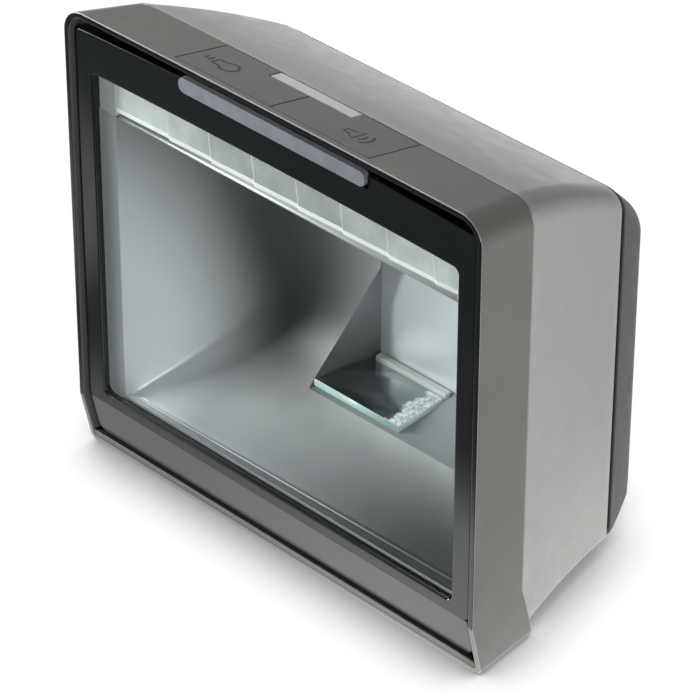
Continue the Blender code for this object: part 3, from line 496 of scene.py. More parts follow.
def cut(piece, low, high):
    """Takes a box, in part millimetres, out of a piece."""
    bm = bmesh.new()
    bmesh.ops.create_cube(bm, size=1.0)
    for vert in bm.verts:
        at = [low[i] + (vert.co[i] + 0.5) * (high[i] - low[i]) for i in range(3)]
        vert.co = Vector((at[0], at[1] - MIDDLE, at[2])) * MM
    carve(piece, bm)


def cylinder(bm, radius, length):
    """Adds a cylinder round the Z axis, centred, and gives its vertices."""
    made = bmesh.ops.create_cone(
        bm, cap_ends=True, segments=32, radius1=radius, radius2=radius, depth=length
    )
    return made["verts"]


def bore(piece, radius, start, length, axis):
    """Takes a round hole, in part millimetres, out of a piece."""
    bm = bmesh.new()
    cylinder(bm, radius, length)
    turn = Matrix() if axis == "Z" else Matrix.Rotation(-math.pi / 2, 4, "X")
    along = Vector((0, 0, length / 2)) if axis == "Z" else Vector((0, length / 2, 0))
    for vert in bm.verts:
        vert.co = (turn @ vert.co + along + Vector(start) - Vector((0, MIDDLE, 0))) * MM
    carve(piece, bm)


def carve(piece, bm):
    """Takes a cutter, in the frame's metres, out of a piece."""
    cutter = add_mesh("cutter", bm)
    modifier = piece.modifiers.new("carve", "BOOLEAN")
    modifier.operation = "DIFFERENCE"
    modifier.solver = "EXACT"
    modifier.object = cutter
    bpy.context.view_layer.update()
    shown = piece.evaluated_get(bpy.context.evaluated_depsgraph_get())
    carved = bpy.data.meshes.new_from_object(shown)
    piece.modifiers.remove(modifier)
    piece.data = carved
    bpy.data.objects.remove(cutter)


def quarter(steps):
    """Pairs of 1 - sin and 1 - cos of the angles of a quarter turn."""
    angles = [math.radians(90 * i / steps) for i in range(steps + 1)]
    return [(1 - math.sin(a), 1 - math.cos(a)) for a in angles]


TOP_STEPS = 12


def outline(half, bottom, top, crown, r_top, r_bottom, waist):
    """Closed x-z outline of a housing section, finely stepped, anticlockwise seen from the front."""
    right = [(half - r_bottom * s, bottom + r_bottom * c) for s, c in quarter(8)]
    for share in (0.0, 0.01, 0.33, 0.66, 0.99):
        right.append((half, waist + (top - r_top - waist) * share))
    right += [(half - r_top * c, top - r_top * s) for s, c in quarter(16)]
    for i in range(1, TOP_STEPS + 1):
        right.append(((half - r_top) * (1 - i / TOP_STEPS), top))
    right = [(x, z + (crown * (1 - (x / half) ** 2) if z > waist + 1 else 0.0)) for x, z in right]
    return right + [(-x, z) for x, z in reversed(right[:-1])]


def inset(section, d):
    """The outline of a housing section drawn in by a distance."""
    half, bottom, top, crown, r_top, r_bottom, waist = section
    return outline(half - d, bottom + d, top - d, crown, max(r_top - d, 0.5), max(r_bottom - d, 0.4), waist)


def skin(rings, closed=False):
    """Joins rings of points that follow one another, round to the first one or with a cap at each end."""
    bm = bmesh.new()
    rows = [[bm.verts.new(point) for point in ring] for ring in rings]
    count = len(rows[0])
    pairs = list(zip(rows, rows[1:]))
    if closed:
        pairs.append((rows[-1], rows[0]))
    for near, far in pairs:
        for i in range(count):
            j = (i + 1) % count
            bm.faces.new((near[i], far[i], far[j], near[j]))
    if not closed:
        bm.faces.new(rows[0])
        bm.faces.new(rows[-1])
    return bm


def rounded(half, bottom, top, radius, rise):
    """Rounded rectangle in x-z whose top edge bows upwards."""
    right = [(half - radius * s, bottom + radius * c) for s, c in quarter(8)]
    right += [(half - radius * c, top - radius * s) for s, c in quarter(8)]
    for i in range(1, TOP_STEPS + 1):
        x = (half - radius) * (1 - i / TOP_STEPS)
        right.append((x, top + rise * (1 - (x / half) ** 2)))
    return right + [(-x, z) for x, z in reversed(right[:-1])]


def ring_plate(outer, inner, soft_out, soft_in=0.0, lean=None):
    """A flat plate, or ring, whose front edges are rounded; outer and inner are functions of an inset."""

    def row(loop, y):
        return [(x, y + (lean(z) if lean else 0.0), z) for x, z in loop]

    rings = [row(outer(0), PLATE_BACK)]
    for s, c in quarter(3):
        rings.append(row(outer(soft_out * c), PLATE_FRONT + soft_out * s))
    if inner is None:
        return skin(rings)
    for s, c in reversed(quarter(3)):
        rings.append(row(inner(-soft_in * c), PLATE_FRONT + soft_in * s))
    rings.append(row(inner(0), PLATE_BACK))
    return skin(rings, closed=True)


def front_y(z):
    """Depth of the bezel's front edge at a height."""
    return max(0.0, KINK_Z - z) * CHIN_LEAN


def seam_y(z):
    """Depth of the seam between bezel and body at a height."""
    return BEZEL_DEPTH + max(0.0, KINK_Z - z) * REAR_LEAN


def bezel_section(y):
    t = y / BEZEL_DEPTH
    return (76.0 - 2.3 * t, 0.0, 141.75 - 4.85 * t, 0.35 + 0.45 * t, 7.4, 3.0, KINK_Z)


def bezel_top(x, y):
    half, _, top, crown, _, _, _ = bezel_section(y)
    return top + crown * (1 - (x / half) ** 2)


def body_section(y):
    run = y - BODY_FRONT
    t = run / (BODY_REAR - BODY_FRONT)
    half = 73.3 - 0.30 * run + 0.0017 * run * run
    top = 136.75 - 0.345 * run - 0.00275 * run * run
    return (half, BODY_FLOOR, top, 0.8 * (1 - t), 7.0 - 1.5 * t, 2.6, KINK_Z)


# ---------------------------------------------------------------- housings

WARM_GREY = (0.2, 0.19, 0.178)
housing_grey = moulded("housing_grey", WARM_GREY, 0.46)
# Lighter greys for painted highlights along the bezel's bottom edge and lip edge
bottom_edge_highlight = moulded("housing_edge", (0.33, 0.32, 0.308), 0.3, grain=0.01)
edge_light = moulded("housing_edge_light", (0.42, 0.405, 0.385), 0.3, grain=0.01)
foot_grey = moulded("foot_band_grey", (0.1, 0.095, 0.09), 0.4, grain=0.02)
button_grey = moulded("button_grey", (0.185, 0.176, 0.166), 0.5)
chin_grey = moulded("chin_grey", (0.052, 0.053, 0.051), 0.2, grain=0.006)
cover_grey = moulded("cover_grey", (0.076, 0.072, 0.069), 0.48)
glyph_grey = moulded("glyph_grey", (0.03, 0.029, 0.028), 0.6, grain=0.02)
silver = silver_coat()
black = polished_black()
seal = rubber("seal_black", 0.012)

LIP = 0.45
LIP_STEPS = 4
LIP_BLACK_DEPTH = 0.5
FOOT_BAND = 2.3
FLANK_X = -0.07
FLANK_DEPTH = 5.0
BODY_MIDDLE = 0.07
REAR_ROUND = 0.3
BEZEL_LOOKS = [housing_grey, black, bottom_edge_highlight, foot_grey, edge_light]
LIP_BLACK = 1
BOTTOM_HIGHLIGHT = 2
FOOT_GREY = 3
EDGE_LIGHT = 4
BUTTON_GAP = 0.3


def bezel_row(y, d):
    """One ring of the bezel at a depth and an inset, leaning with the chin at both ends."""
    t = y / BEZEL_DEPTH
    points = []
    for x, z in inset(bezel_section(y), d):
        lean = front_y(z) + (seam_y(z) - BEZEL_DEPTH - front_y(z)) * t
        points.append((x, y + lean, z))
    return points


rings = [
    bezel_row(BEZEL_DEPTH, REAR_ROUND),
    bezel_row(BEZEL_DEPTH - 0.3 * REAR_ROUND, 0.3 * REAR_ROUND),
    bezel_row(BEZEL_DEPTH - REAR_ROUND, 0.0),
]
rings += [bezel_row(y, 0.0) for y in (17.0, 13.0, 9.0, 5.0, 2.5, 1.2)]
rings += [bezel_row(LIP * s, LIP * c) for s, c in quarter(LIP_STEPS)]
rings += [bezel_row(LIP * c, BEZEL_WALL - LIP * s) for s, c in quarter(LIP_STEPS)]
rings += [bezel_row(y, BEZEL_WALL) for y in (4.0, 12.0, BEZEL_DEPTH - REAR_ROUND)]
bezel = place("front_bezel_shell", skin(rings, closed=True), BEZEL_LOOKS, replaces="front_bezel")
for face in bezel.data.polygons:
    centre = face.center
    normal = face.normal
    at_front = centre.y < (LIP_BLACK_DEPTH - MIDDLE) * MM and normal.y < -0.75
    if at_front and centre.z > KINK_Z * MM:
        face.material_index = LIP_BLACK
    if at_front and centre.z < FOOT_BAND * MM:
        face.material_index = FOOT_GREY
    # Painted highlight: the bottom rounding at the front takes a lighter grey
    if centre.z < LIP * MM and normal.y < -0.2:
        face.material_index = BOTTOM_HIGHLIGHT
    # Painted highlight: the outer rounding of the lip takes a lighter grey
    outward = normal.x * centre.x + normal.z * (centre.z - BODY_MIDDLE)
    if -0.8 < normal.y < -0.25 and outward > 0 and centre.z > LIP * MM:
        face.material_index = EDGE_LIGHT
    if normal.x > 0.5 and centre.x < FLANK_X and centre.y < (FLANK_DEPTH - MIDDLE) * MM:
        face.material_index = FOOT_GREY
cut(bezel, (-BUTTON_OUTER - BUTTON_GAP, 2.2, 125), (BUTTON_OUTER + BUTTON_GAP, 30, 150))
crisp(bezel)

# Sill under the chin panel
SILL_TOP = 4.4
SILL_FOOT = 1.0
SILL_BACK = 8.0
SILL_SETBACK = 0.25
SILL_ROUND = 0.35
SILL_HALF = 74.0
SILL_STEPS = 24
sill_profile = [(SILL_BACK, SILL_FOOT), (front_y(SILL_FOOT) + 0.1, SILL_FOOT)]
for s, c in quarter(4):
    y = front_y(SILL_TOP) + SILL_SETBACK + SILL_ROUND * c
    sill_profile.append((y, SILL_TOP - SILL_ROUND * s))
sill_profile.append((SILL_BACK, SILL_TOP))
sill_rings = []
for i in range(SILL_STEPS + 1):
    x = SILL_HALF * (2 * i / SILL_STEPS - 1)
    sill_rings.append([(x, y, z) for y, z in sill_profile])
sill_bm = skin(sill_rings)
sill = place("chin_sill", sill_bm, [foot_grey, seal])
# The sill's top ledge takes the black seal: painted shade, so it reads as a dark gap
for face in sill.data.polygons:
    if face.normal.z > 0.8:
        face.material_index = 1
crisp(sill)

# Main body
BODY_STATIONS = 22


def body_rows(d):
    """Rings of the body shell at an inset, from the leaning seam back to the flat rear."""
    rows = []
    for k in range(BODY_STATIONS + 1):
        t = k / BODY_STATIONS
        y = BODY_FRONT + (BODY_REAR - BODY_FRONT) * t
        section = inset(body_section(y), d)
        rows.append([(x, y + (seam_y(z) - BEZEL_DEPTH) * (1 - t), z) for x, z in section])
    return rows


def end_round(section, y_of, edge, inwards, radius):
    """Rings that round a shell's rim from its outer wall round to its end face."""
    made = []
    for s, c in quarter(3):
        made.append([(x, y_of(z) + edge + radius * s * inwards, z) for x, z in inset(section, radius * c)])
    return made


outer = body_rows(0.0)
front_rim = end_round(body_section(BODY_FRONT), lambda z: seam_y(z) - BEZEL_DEPTH, BODY_FRONT, 1, 0.4)
rear_rim = end_round(body_section(BODY_REAR), lambda z: 0.0, BODY_REAR, -1, 0.8)
inner = body_rows(2.0)
body_rings = list(reversed(front_rim)) + outer[1:-1] + rear_rim + list(reversed(inner))
body = place("main_body_shell", skin(body_rings, closed=True), [silver], replaces="main_body")
for sign in (-1, 1):
    bore(body, 2.4, (sign * 45.0, 55.0, 0.0), 12.0, "Z")
crisp(body)

# Rear cover: seam roll, sloping flanks, a stepped hump; (y, half, bottom, top, r_top, r_bottom, waist)
COVER_SECTIONS = (
    (68.2, 62.75, 4.5, 113.7, 5.5, 2.6, KINK_Z),
    (69.6, 62.5, 4.6, 112.6, 5.7, 2.8, KINK_Z),
    (73.0, 61.8, 7.0, 109.5, 6.2, 3.4, KINK_Z),
    (76.8, 60.9, 10.2, 105.9, 7.0, 4.2, 20.0),
    (78.6, 59.6, 12.0, 104.1, 7.4, 5.0, 22.0),
    (79.7, 57.4, 14.0, 102.3, 7.6, 5.6, 24.0),
    (80.0, 43.5, 15.6, 87.6, 9.0, 7.0, 30.0),
    (81.2, 41.8, 16.4, 86.4, 8.6, 6.6, 30.0),
    (93.6, 39.6, 17.6, 83.8, 8.0, 6.0, 30.0),
    (95.6, 38.6, 18.6, 82.8, 7.6, 5.6, 30.0),
    (96.5, 36.8, 20.4, 81.0, 6.6, 5.0, 30.0),
)


def between(a, b, t):
    return tuple(p + (q - p) * t for p, q in zip(a, b))


def cover_stations():
    """The cover's sections with smooth stations between them where it curves."""
    made = []
    for a, b in zip(COVER_SECTIONS, COVER_SECTIONS[1:]):
        steps = 3 if abs(b[1] - a[1]) > 0.6 else 2
        for i in range(steps):
            made.append(between(a, b, i / steps))
    made.append(COVER_SECTIONS[-1])
    return made


COVER_WALL = 2.0
HUMP_START = 79.0
COVER_RIM = (62.75, 4.5, 113.6, 0.0, 5.5, 2.6, KINK_Z)
outer = []
inner = []
for y, half, bottom, top, r_top, r_bottom, waist in cover_stations():
    section = (half, bottom, top, 0.0, r_top, r_bottom, waist)
    inner_y = y - COVER_WALL if y > HUMP_START else y
    outer.append([(x, y, z) for x, z in inset(section, 0.0)])
    inner.append([(x, inner_y, z) for x, z in inset(section, COVER_WALL)])
outer[0] = [(x, 68.45, z) for x, z in inset(COVER_RIM, 0.0)]
outer.insert(0, [(x, 68.2, z) for x, z in inset(COVER_RIM, 0.28)])
cover_bm = skin(list(reversed(inner)) + outer)
cover = place("rear_cover_shell", cover_bm, [cover_grey], replaces="rear_cover")
COVER_SCREWS = ((-49.8, 24.0), (49.8, 24.0), (-49.8, 90.0), (49.8, 90.0))
SPEAKER_SLOTS = [-12.0 + 4.0 * i for i in range(7)]
SOCKET_WINDOWS = ((-27.0, -11.0, 25.0, 39.0), (-4.5, 9.0, 27.0, 33.4))
SOCKET_GAP = 0.4
for x, z in COVER_SCREWS:
    bore(cover, 3.4, (x, 74.0, z), 12.0, "Y")
for x in SPEAKER_SLOTS:
    cut(cover, (x - 0.8, 74.0, 91.0), (x + 0.8, 84.0, 99.5))
for x_low, x_high, z_low, z_high in SOCKET_WINDOWS:
    low = (x_low - SOCKET_GAP, 90.0, z_low - SOCKET_GAP)
    cut(cover, low, (x_high + SOCKET_GAP, 100.0, z_high + SOCKET_GAP))
bore(cover, 4.9, (22.0, 90.0, 31.0), 10.0, "Y")
crisp(cover)
post_bm = bmesh.new()
for x, z in COVER_SCREWS:
    turn = Matrix.Translation((x, 67.6, z)) @ Matrix.Rotation(-math.pi / 2, 4, "X")
    bmesh.ops.transform(post_bm, matrix=turn, verts=cylinder(post_bm, 4.4, 15.0))
sharpen(post_bm, 40)
posts = place("rear_cover_posts", post_bm, [cover_grey])
for x, z in COVER_SCREWS:
    bore(posts, 1.9, (x, 58.0, z), 30.0, "Y")

# ---------------------------------------------------------------- window


def frame_outer(d):
    return rounded(72.9 - d, 18.0 + 0.1 * d, 135.7 - d, 1.6, rise=1.6)


def frame_inner(d):
    return rounded(66.9 - d, 21.3 + d, 123.9 - d, 2.0, rise=0.7)


BAR_GAP = 0.4
frame_bm = ring_plate(frame_outer, frame_inner, 0.3, 0.5)
window_frame = place("window_frame_plate", frame_bm, [black], replaces="window_frame")
cut(window_frame, (BAR_LEFT - BAR_GAP, 0.0, 133.2), (BAR_RIGHT + BAR_GAP, 2.65, 142.0))
cut(window_frame, (BAR_LEFT - BAR_GAP, 0.0, 134.8), (BAR_RIGHT + BAR_GAP, 6.0, 142.0))
crisp(window_frame)

PANEL_HALF = 72.7
PANEL_LOW = 4.9
PANEL_HIGH = 17.95
PANEL_CORNER = 3.0


def panel_outer(d):
    right = [(PANEL_HALF - d - PANEL_CORNER * s, PANEL_LOW + d + PANEL_CORNER * c) for s, c in quarter(8)]
    right += [(PANEL_HALF - d, KINK_Z), (PANEL_HALF - d, PANEL_HIGH - 0.1 * d)]
    return right + [(-x, z) for x, z in reversed(right)]


panel_bm = ring_plate(panel_outer, None, 0.35, lean=front_y)
panel = place("chin_panel_plate", panel_bm, [chin_grey], replaces="chin_panel")
crisp(panel)

# ---------------------------------------------------------------- optical tray

tray_grey = scoop_tray()
# Pale rim edge, flange and end blocks, brightened by a painted glow though they sit in shade
tray_edge_glow = light_pipe("tray_edge_pale", (0.55, 0.58, 0.59), 0.22, 0.3)
# The niche's back wall: a lighter copy of the tray plastic, painted light
tray_back_lit = satin_tray("tray_back_painted_light", 0.88)
# The niche's left wall: a darker copy of the tray plastic, painted shade that lightens upwards
tray_side_shaded = climbing_tray("tray_side_painted_shade", 0.13, 0.034, 0.06, 0.6, 2.5)
TRAY_LOOKS = [tray_grey, tray_edge_glow, seal, tray_back_lit, tray_side_shaded]
TRAY_EDGE = 1
# Black seal used as a painted shadow gap along the foot
TRAY_SHADOW_GAP = 2
TRAY_BACK = 3
TRAY_SIDE = 4
FOOT_ROWS = [TRAY_BOTTOM + (NICHE_FLOOR - TRAY_BOTTOM) * (i / 18) for i in range(19)]
WALL_ROWS = [NICHE_FLOOR + (RAMP_TOP - NICHE_FLOOR) * i / 8 for i in range(1, 9)]
WALL_ROWS += [RAMP_TOP + (TRAY_TOP - RAMP_TOP) * i / 48 for i in range(1, 49)]
LEFT_COLUMNS = 64
NICHE_COLUMNS = 24
RIGHT_COLUMNS = 32
STEP_DEPTH = 0.4
STEPS = (0.0, 0.42, 0.5, 0.62, 0.68, 0.8, 0.86, 1.0)
STEP_DROPS = (0, 0, 1, 1, 0, 0, 1, 0)
STEP_FADE = 1.5
ON_EDGE = 0.01
CREASE_FOOT = 36.0
CREASE_RATE = 0.0535
CREASE_POWER = 1.52
CREASE_END = -4.3


def scoop_y(x, z):
    """Depth of the scoop: a curve from the left and one from the foot that meet in a valley."""
    reach = SCOOP_BACK - TRAY_RIM
    shelf = (SHELF_BACK + SHELF_GROWTH * (x - TRAY_LEFT) - TRAY_RIM) / reach
    from_left = 1 - math.exp(-(x - TRAY_LEFT) / SCOOP_LENGTH_X)
    from_foot = 1 - (1 - shelf) * math.exp(-(z - TRAY_BOTTOM) / SCOOP_LENGTH_Z)
    if from_left < 1e-6:
        return TRAY_RIM
    sharpness = 4 + 16 * from_left**2
    return TRAY_RIM + reach * (from_left**-sharpness + from_foot**-sharpness) ** (-1 / sharpness)


def right_y(x, z):
    """Depth to the right of the niche: the scoop at the foot, then a ramp that meets the back wall."""
    if z <= NICHE_FLOOR:
        return scoop_y(x, z)
    foot = scoop_y(x, NICHE_FLOOR)
    return foot + (NICHE_BACK - foot) * min(1.0, (z - NICHE_FLOOR) / (RAMP_TOP - NICHE_FLOOR))


def right_edge(z):
    """Where the ramp meets the niche's upright right wall."""
    x = NICHE_RIGHT
    for _ in range(12):
        y = right_y(x, z)
        x = NICHE_RIGHT + NICHE_RIGHT_LEAN * max(0.0, y - NICHE_FRONT)
    return x, y


def crease(z):
    """The straight-looking crease down the niche's left wall."""
    x = min(CREASE_END, NICHE_LEFT + CREASE_RATE * max(0.0, z - CREASE_FOOT) ** CREASE_POWER)
    return x, scoop_y(x, z)


def tray():
    """Open sheet of the scoop, the niche, the right wall, the stepped shelf and the flange."""
    bm = bmesh.new()
    new = bm.verts.new
    quads = []
    right_x = TRAY_RIGHT - 0.05 * (SCOOP_BACK - TRAY_RIM)

    def strip(low, high, look=0):
        for i in range(len(low) - 1):
            quads.append(((low[i], low[i + 1], high[i + 1], high[i]), look))

    def left_row(z, end_x, end_y):
        row = []
        for i in range(LEFT_COLUMNS + 1):
            x = TRAY_LEFT + (end_x - TRAY_LEFT) * (i / LEFT_COLUMNS) ** 1.4
            row.append(new((x, end_y if i == LEFT_COLUMNS else scoop_y(x, z), z)))
        return row

    def right_row(z, start):
        row = [start]
        for i in range(1, RIGHT_COLUMNS + 1):
            x = start.co.x + (right_x - start.co.x) * i / RIGHT_COLUMNS
            row.append(new((x, right_y(x, z), z)))
        return row

    full = []
    for z in FOOT_ROWS:
        left = left_row(z, NICHE_LEFT, scoop_y(NICHE_LEFT, z))
        right = right_row(z, new((NICHE_RIGHT, scoop_y(NICHE_RIGHT, z), z)))
        middle = []
        for i in range(1, NICHE_COLUMNS):
            x = NICHE_LEFT + (NICHE_RIGHT - NICHE_LEFT) * i / NICHE_COLUMNS
            middle.append(new((x, scoop_y(x, z), z)))
        full.append((left, middle, right))
    for low, high in zip(full, full[1:]):
        strip(low[0] + low[1] + low[2], high[0] + high[1] + high[2])
    # Floor and back of the niche
    span = NICHE_BACK - NICHE_FRONT
    back_left = NICHE_LEFT + NICHE_LEFT_LEAN * span
    back_right = NICHE_RIGHT + NICHE_RIGHT_LEAN * span
    back_foot = NICHE_FLOOR + NICHE_RISE * span
    walls = []
    for z in (NICHE_FLOOR, *WALL_ROWS):
        height = max(z, back_foot + (RAMP_TOP - back_foot) * (z - NICHE_FLOOR) / (RAMP_TOP - NICHE_FLOOR))
        row = []
        for i in range(NICHE_COLUMNS + 1):
            x = back_left + (back_right - back_left) * i / NICHE_COLUMNS
            row.append(new((x, NICHE_BACK, height)))
        walls.append(row)
    strip([full[-1][0][-1], *full[-1][1], full[-1][2][0]], walls[0])
    for low, high in zip(walls, walls[1:]):
        strip(low, high, TRAY_BACK)
    # Surfaces beside the niche and its side walls
    left_rows = [full[-1][0]]
    right_rows = [full[-1][2]]
    for z, wall in zip(WALL_ROWS, walls[1:]):
        left_rows.append(left_row(z, *crease(z)))
        right_rows.append(right_row(z, new((*right_edge(z), z)) if z < RAMP_TOP else wall[-1]))
    for low, high in zip(left_rows, left_rows[1:]):
        strip(low, high)
    for low, high in zip(right_rows, right_rows[1:]):
        strip(low, high, TRAY_BACK if low[1].co.z > RAMP_TOP - ON_EDGE else 0)
    strip([row[-1] for row in left_rows], [row[0] for row in walls], TRAY_SIDE)
    strip([row[-1] for row in walls], [row[0] for row in right_rows])
    # Right wall and stepped foot shelf
    deep_right = [row[2][-1] for row in full[:-1]] + [row[-1] for row in right_rows]
    rim_right = [new((TRAY_RIGHT, TRAY_RIM, vert.co.z)) for vert in deep_right]
    strip(deep_right, rim_right)
    shelf = full[0][0] + full[0][1] + full[0][2]
    shelf_rows = []
    for share, drop in zip(STEPS[:-1], STEP_DROPS[:-1]):
        row = []
        for vert in shelf:
            run = vert.co.y - TRAY_RIM
            fade = min(1.0, run / STEP_FADE)
            row.append(new((vert.co.x, TRAY_RIM + run * share, TRAY_BOTTOM - drop * STEP_DEPTH * fade)))
        shelf_rows.append(row)
    shelf_rows.append(shelf)
    for near, far in zip(shelf_rows, shelf_rows[1:]):
        strip(near, far)
    quads.append(((rim_right[0], deep_right[0], *[row[-1] for row in reversed(shelf_rows[:-1])]), 0))
    # Ceiling
    quads.append(((*left_rows[-1], *walls[-1], *right_rows[-1], rim_right[-1]), 0))
    # Flange round the left, foot and right of the rim: an inner strip of the glowing pale edge, and along the
    # foot an outer strip of black seal, a painted shadow gap
    rim_left = [row[0][0] for row in full[:-1]] + [row[0] for row in left_rows]
    rim = list(reversed(rim_left)) + shelf_rows[0][1:] + rim_right
    for side_share, foot_share, look in ((0.06, 0.32, TRAY_EDGE), (1.0, 1.0, TRAY_SHADOW_GAP)):
        outer = []
        for vert in rim:
            x, y, z = vert.co
            foot = z < TRAY_BOTTOM + ON_EDGE
            if x < TRAY_LEFT + ON_EDGE:
                x += (-TRAY_FLANGE_X - x) * side_share
            if x > TRAY_RIGHT - ON_EDGE:
                x += (TRAY_FLANGE_X - x) * side_share
            if foot:
                z += (TRAY_FLANGE_Z - z) * foot_share
            outer.append(new((x, TRAY_RIM, z)))
        for i in range(len(rim) - 1):
            low = max(rim[i].co.z, rim[i + 1].co.z) < TRAY_BOTTOM + ON_EDGE
            quads.append(((rim[i], rim[i + 1], outer[i + 1], outer[i]), look if low else TRAY_EDGE))
        rim = outer
    for corners, look in quads:
        kept = []
        for vert in corners:
            if vert not in kept:
                kept.append(vert)
        if len(kept) > 2:
            bm.faces.new(kept).material_index = look
    bmesh.ops.remove_doubles(bm, verts=bm.verts, dist=0.0005)
    bmesh.ops.recalc_face_normals(bm, faces=bm.faces)
    bm.normal_update()
    back = max(bm.faces, key=lambda face: face.calc_center_median().y)
    if back.normal.y > 0:
        bmesh.ops.reverse_faces(bm, faces=bm.faces)
    sharpen(bm, 24)
    return bm


tray_piece = place("optical_tray_shell", tray(), TRAY_LOOKS, replaces="optical_tray", closed=False)
shell = tray_piece.modifiers.new("wall", "SOLIDIFY")
shell.thickness = 1.2 * MM
shell.offset = -1.0

# ---------------------------------------------------------------- lower mirror

MIRROR_LOOP = ((-15.3, 32.7), (16.6, 32.7), (18.7, 48.2), (-8.7, 48.2))
mirror_face = mirror_glass()
# The green cut edge of the glass, brightened by a painted glow
mirror_edge_glow = light_pipe("mirror_cut_edge", (0.46, 0.62, 0.58), 0.25, 0.15)
CUT_EDGE = 1


def niche_height(y):
    return NICHE_FLOOR + NICHE_RISE * (y - NICHE_FRONT)


bm = bmesh.new()
levels = []
for height, d in ((0.0, 0.15), (0.15, 0.0), (MIRROR_THICK - 0.2, 0.0), (MIRROR_THICK, 0.2)):
    ring = []
    for (x, y), (sx, sy) in zip(MIRROR_LOOP, ((1, 1), (-1, 1), (-1, -1), (1, -1))):
        ring.append(bm.verts.new((x + sx * d, y + sy * d, niche_height(y) + MIRROR_GAP + height)))
    levels.append(ring)
for low, high in zip(levels, levels[1:]):
    for i in range(4):
        j = (i + 1) % 4
        look = CUT_EDGE if low is not levels[-2] or i == 0 else 0
        bm.faces.new((low[i], low[j], high[j], high[i])).material_index = look
bm.faces.new(levels[0]).material_index = CUT_EDGE
bm.faces.new(levels[-1]).material_index = 0
sharpen(bm, 20)
place("lower_mirror_plate", bm, [mirror_face, mirror_edge_glow], replaces="lower_mirror")

# ---------------------------------------------------------------- ribbed diffuser

FACETS = (-62.6, -44.3, -28.1, -11.9, 4.3, 20.5, 36.7, 52.9, 62.6)
FACET_STEP = 0.5
JOINT_WIDTH = 0.4
DIFFUSER_LOW = 111.9
DIFFUSER_HIGH = 124.4
DIFFUSER_SKEW = 2.2
DIFFUSER_DEPTH = 2.8
ROLL_HEIGHTS = (0.0, 0.25, 1.25, 1.6)
ROLL_TOP = 1.7
ROLL_DEPTH = 0.35
DIFFUSER_ROWS = (*(DIFFUSER_LOW + rise for rise in ROLL_HEIGHTS), DIFFUSER_HIGH - 0.4, DIFFUSER_HIGH)
# Facets, bright edge and joints all carry a painted glow; the edge and joints glow most, as painted
# highlights
DIFFUSER_LOOKS = [
    ribbed_diffuser(),
    light_pipe("diffuser_bright_edge", (0.72, 0.76, 0.74), 0.3, 0.3),
    light_pipe("diffuser_joint", (0.45, 0.485, 0.465), 0.24, 0.3),
]
BRIGHT_EDGE = 1
JOINT = 2


def facet_look(row, column):
    """Painted highlights: the bright edge along the roll at the foot, a joint beside each facet and along the
    top.
    """
    if row < len(ROLL_HEIGHTS) - 1:
        return BRIGHT_EDGE
    return JOINT if column % 3 == 0 or row == len(DIFFUSER_ROWS) - 2 else 0


def diffuser():
    """Facets that each lean back a little, a roll along the foot and thin joints, both brightened by painted
    highlights.
    """
    bm = bmesh.new()
    rows = []
    for z in DIFFUSER_ROWS:
        lean = DIFFUSER_SKEW * (1 - (z - DIFFUSER_LOW) / (DIFFUSER_HIGH - DIFFUSER_LOW))
        row = []
        for i, (a, b) in enumerate(zip(FACETS, FACETS[1:])):
            start = a + (lean if i else 0.0)
            end = b + (lean if i < len(FACETS) - 2 else 0.0)
            foot = 0.0 if DIFFUSER_LOW < z < DIFFUSER_LOW + ROLL_TOP else ROLL_DEPTH
            corners = ((start, foot + 0.1), (start + JOINT_WIDTH, foot), (end - 0.01, foot + FACET_STEP))
            row += [bm.verts.new((x, TRAY_RIM + y, z)) for x, y in corners]
        rows.append(row)
    for k, (low, high) in enumerate(zip(rows, rows[1:])):
        for i in range(len(low) - 1):
            bm.faces.new((low[i], low[i + 1], high[i + 1], high[i])).material_index = facet_look(k, i)
    back = []
    for z in DIFFUSER_ROWS:
        back.append([bm.verts.new((x, TRAY_RIM + DIFFUSER_DEPTH, z)) for x in (FACETS[0], FACETS[-1])])
    for low, high, back_low, back_high in zip(rows, rows[1:], back, back[1:]):
        bm.faces.new((low[0], high[0], back_high[0], back_low[0])).material_index = BRIGHT_EDGE
        bm.faces.new((low[-1], back_low[1], back_high[1], high[-1])).material_index = BRIGHT_EDGE
        bm.faces.new((back_low[0], back_high[0], back_high[1], back_low[1])).material_index = 0
    for row, behind in ((rows[0], back[0]), (rows[-1], back[-1])):
        bm.faces.new([*row, behind[1], behind[0]]).material_index = BRIGHT_EDGE
    return bm


place("diffuser_bar_facets", diffuser(), DIFFUSER_LOOKS, replaces="diffuser_bar", smooth=False)
END_BLOCKS = ((-69.4, -62.75), (62.75, 69.4))
END_BLOCK_DEPTH = 2.0
END_BLOCK_LOW = 110.6
END_BLOCK_RISE = 13.6
bm = bmesh.new()
for start, end in END_BLOCKS:
    size = Vector((end - start, END_BLOCK_DEPTH, END_BLOCK_RISE))
    made = bmesh.ops.create_cube(bm, size=1.0)
    for vert in made["verts"]:
        share = vert.co + Vector((0.5, 0.5, 0.5))
        vert.co = Vector((start, TRAY_RIM, END_BLOCK_LOW)) + share * size
end_blocks = place("diffuser_end_blocks", bm, [tray_edge_glow])
crisp(end_blocks, 0.3)

# ---------------------------------------------------------------- button symbols

SYMBOL_HEIGHT = 0.012


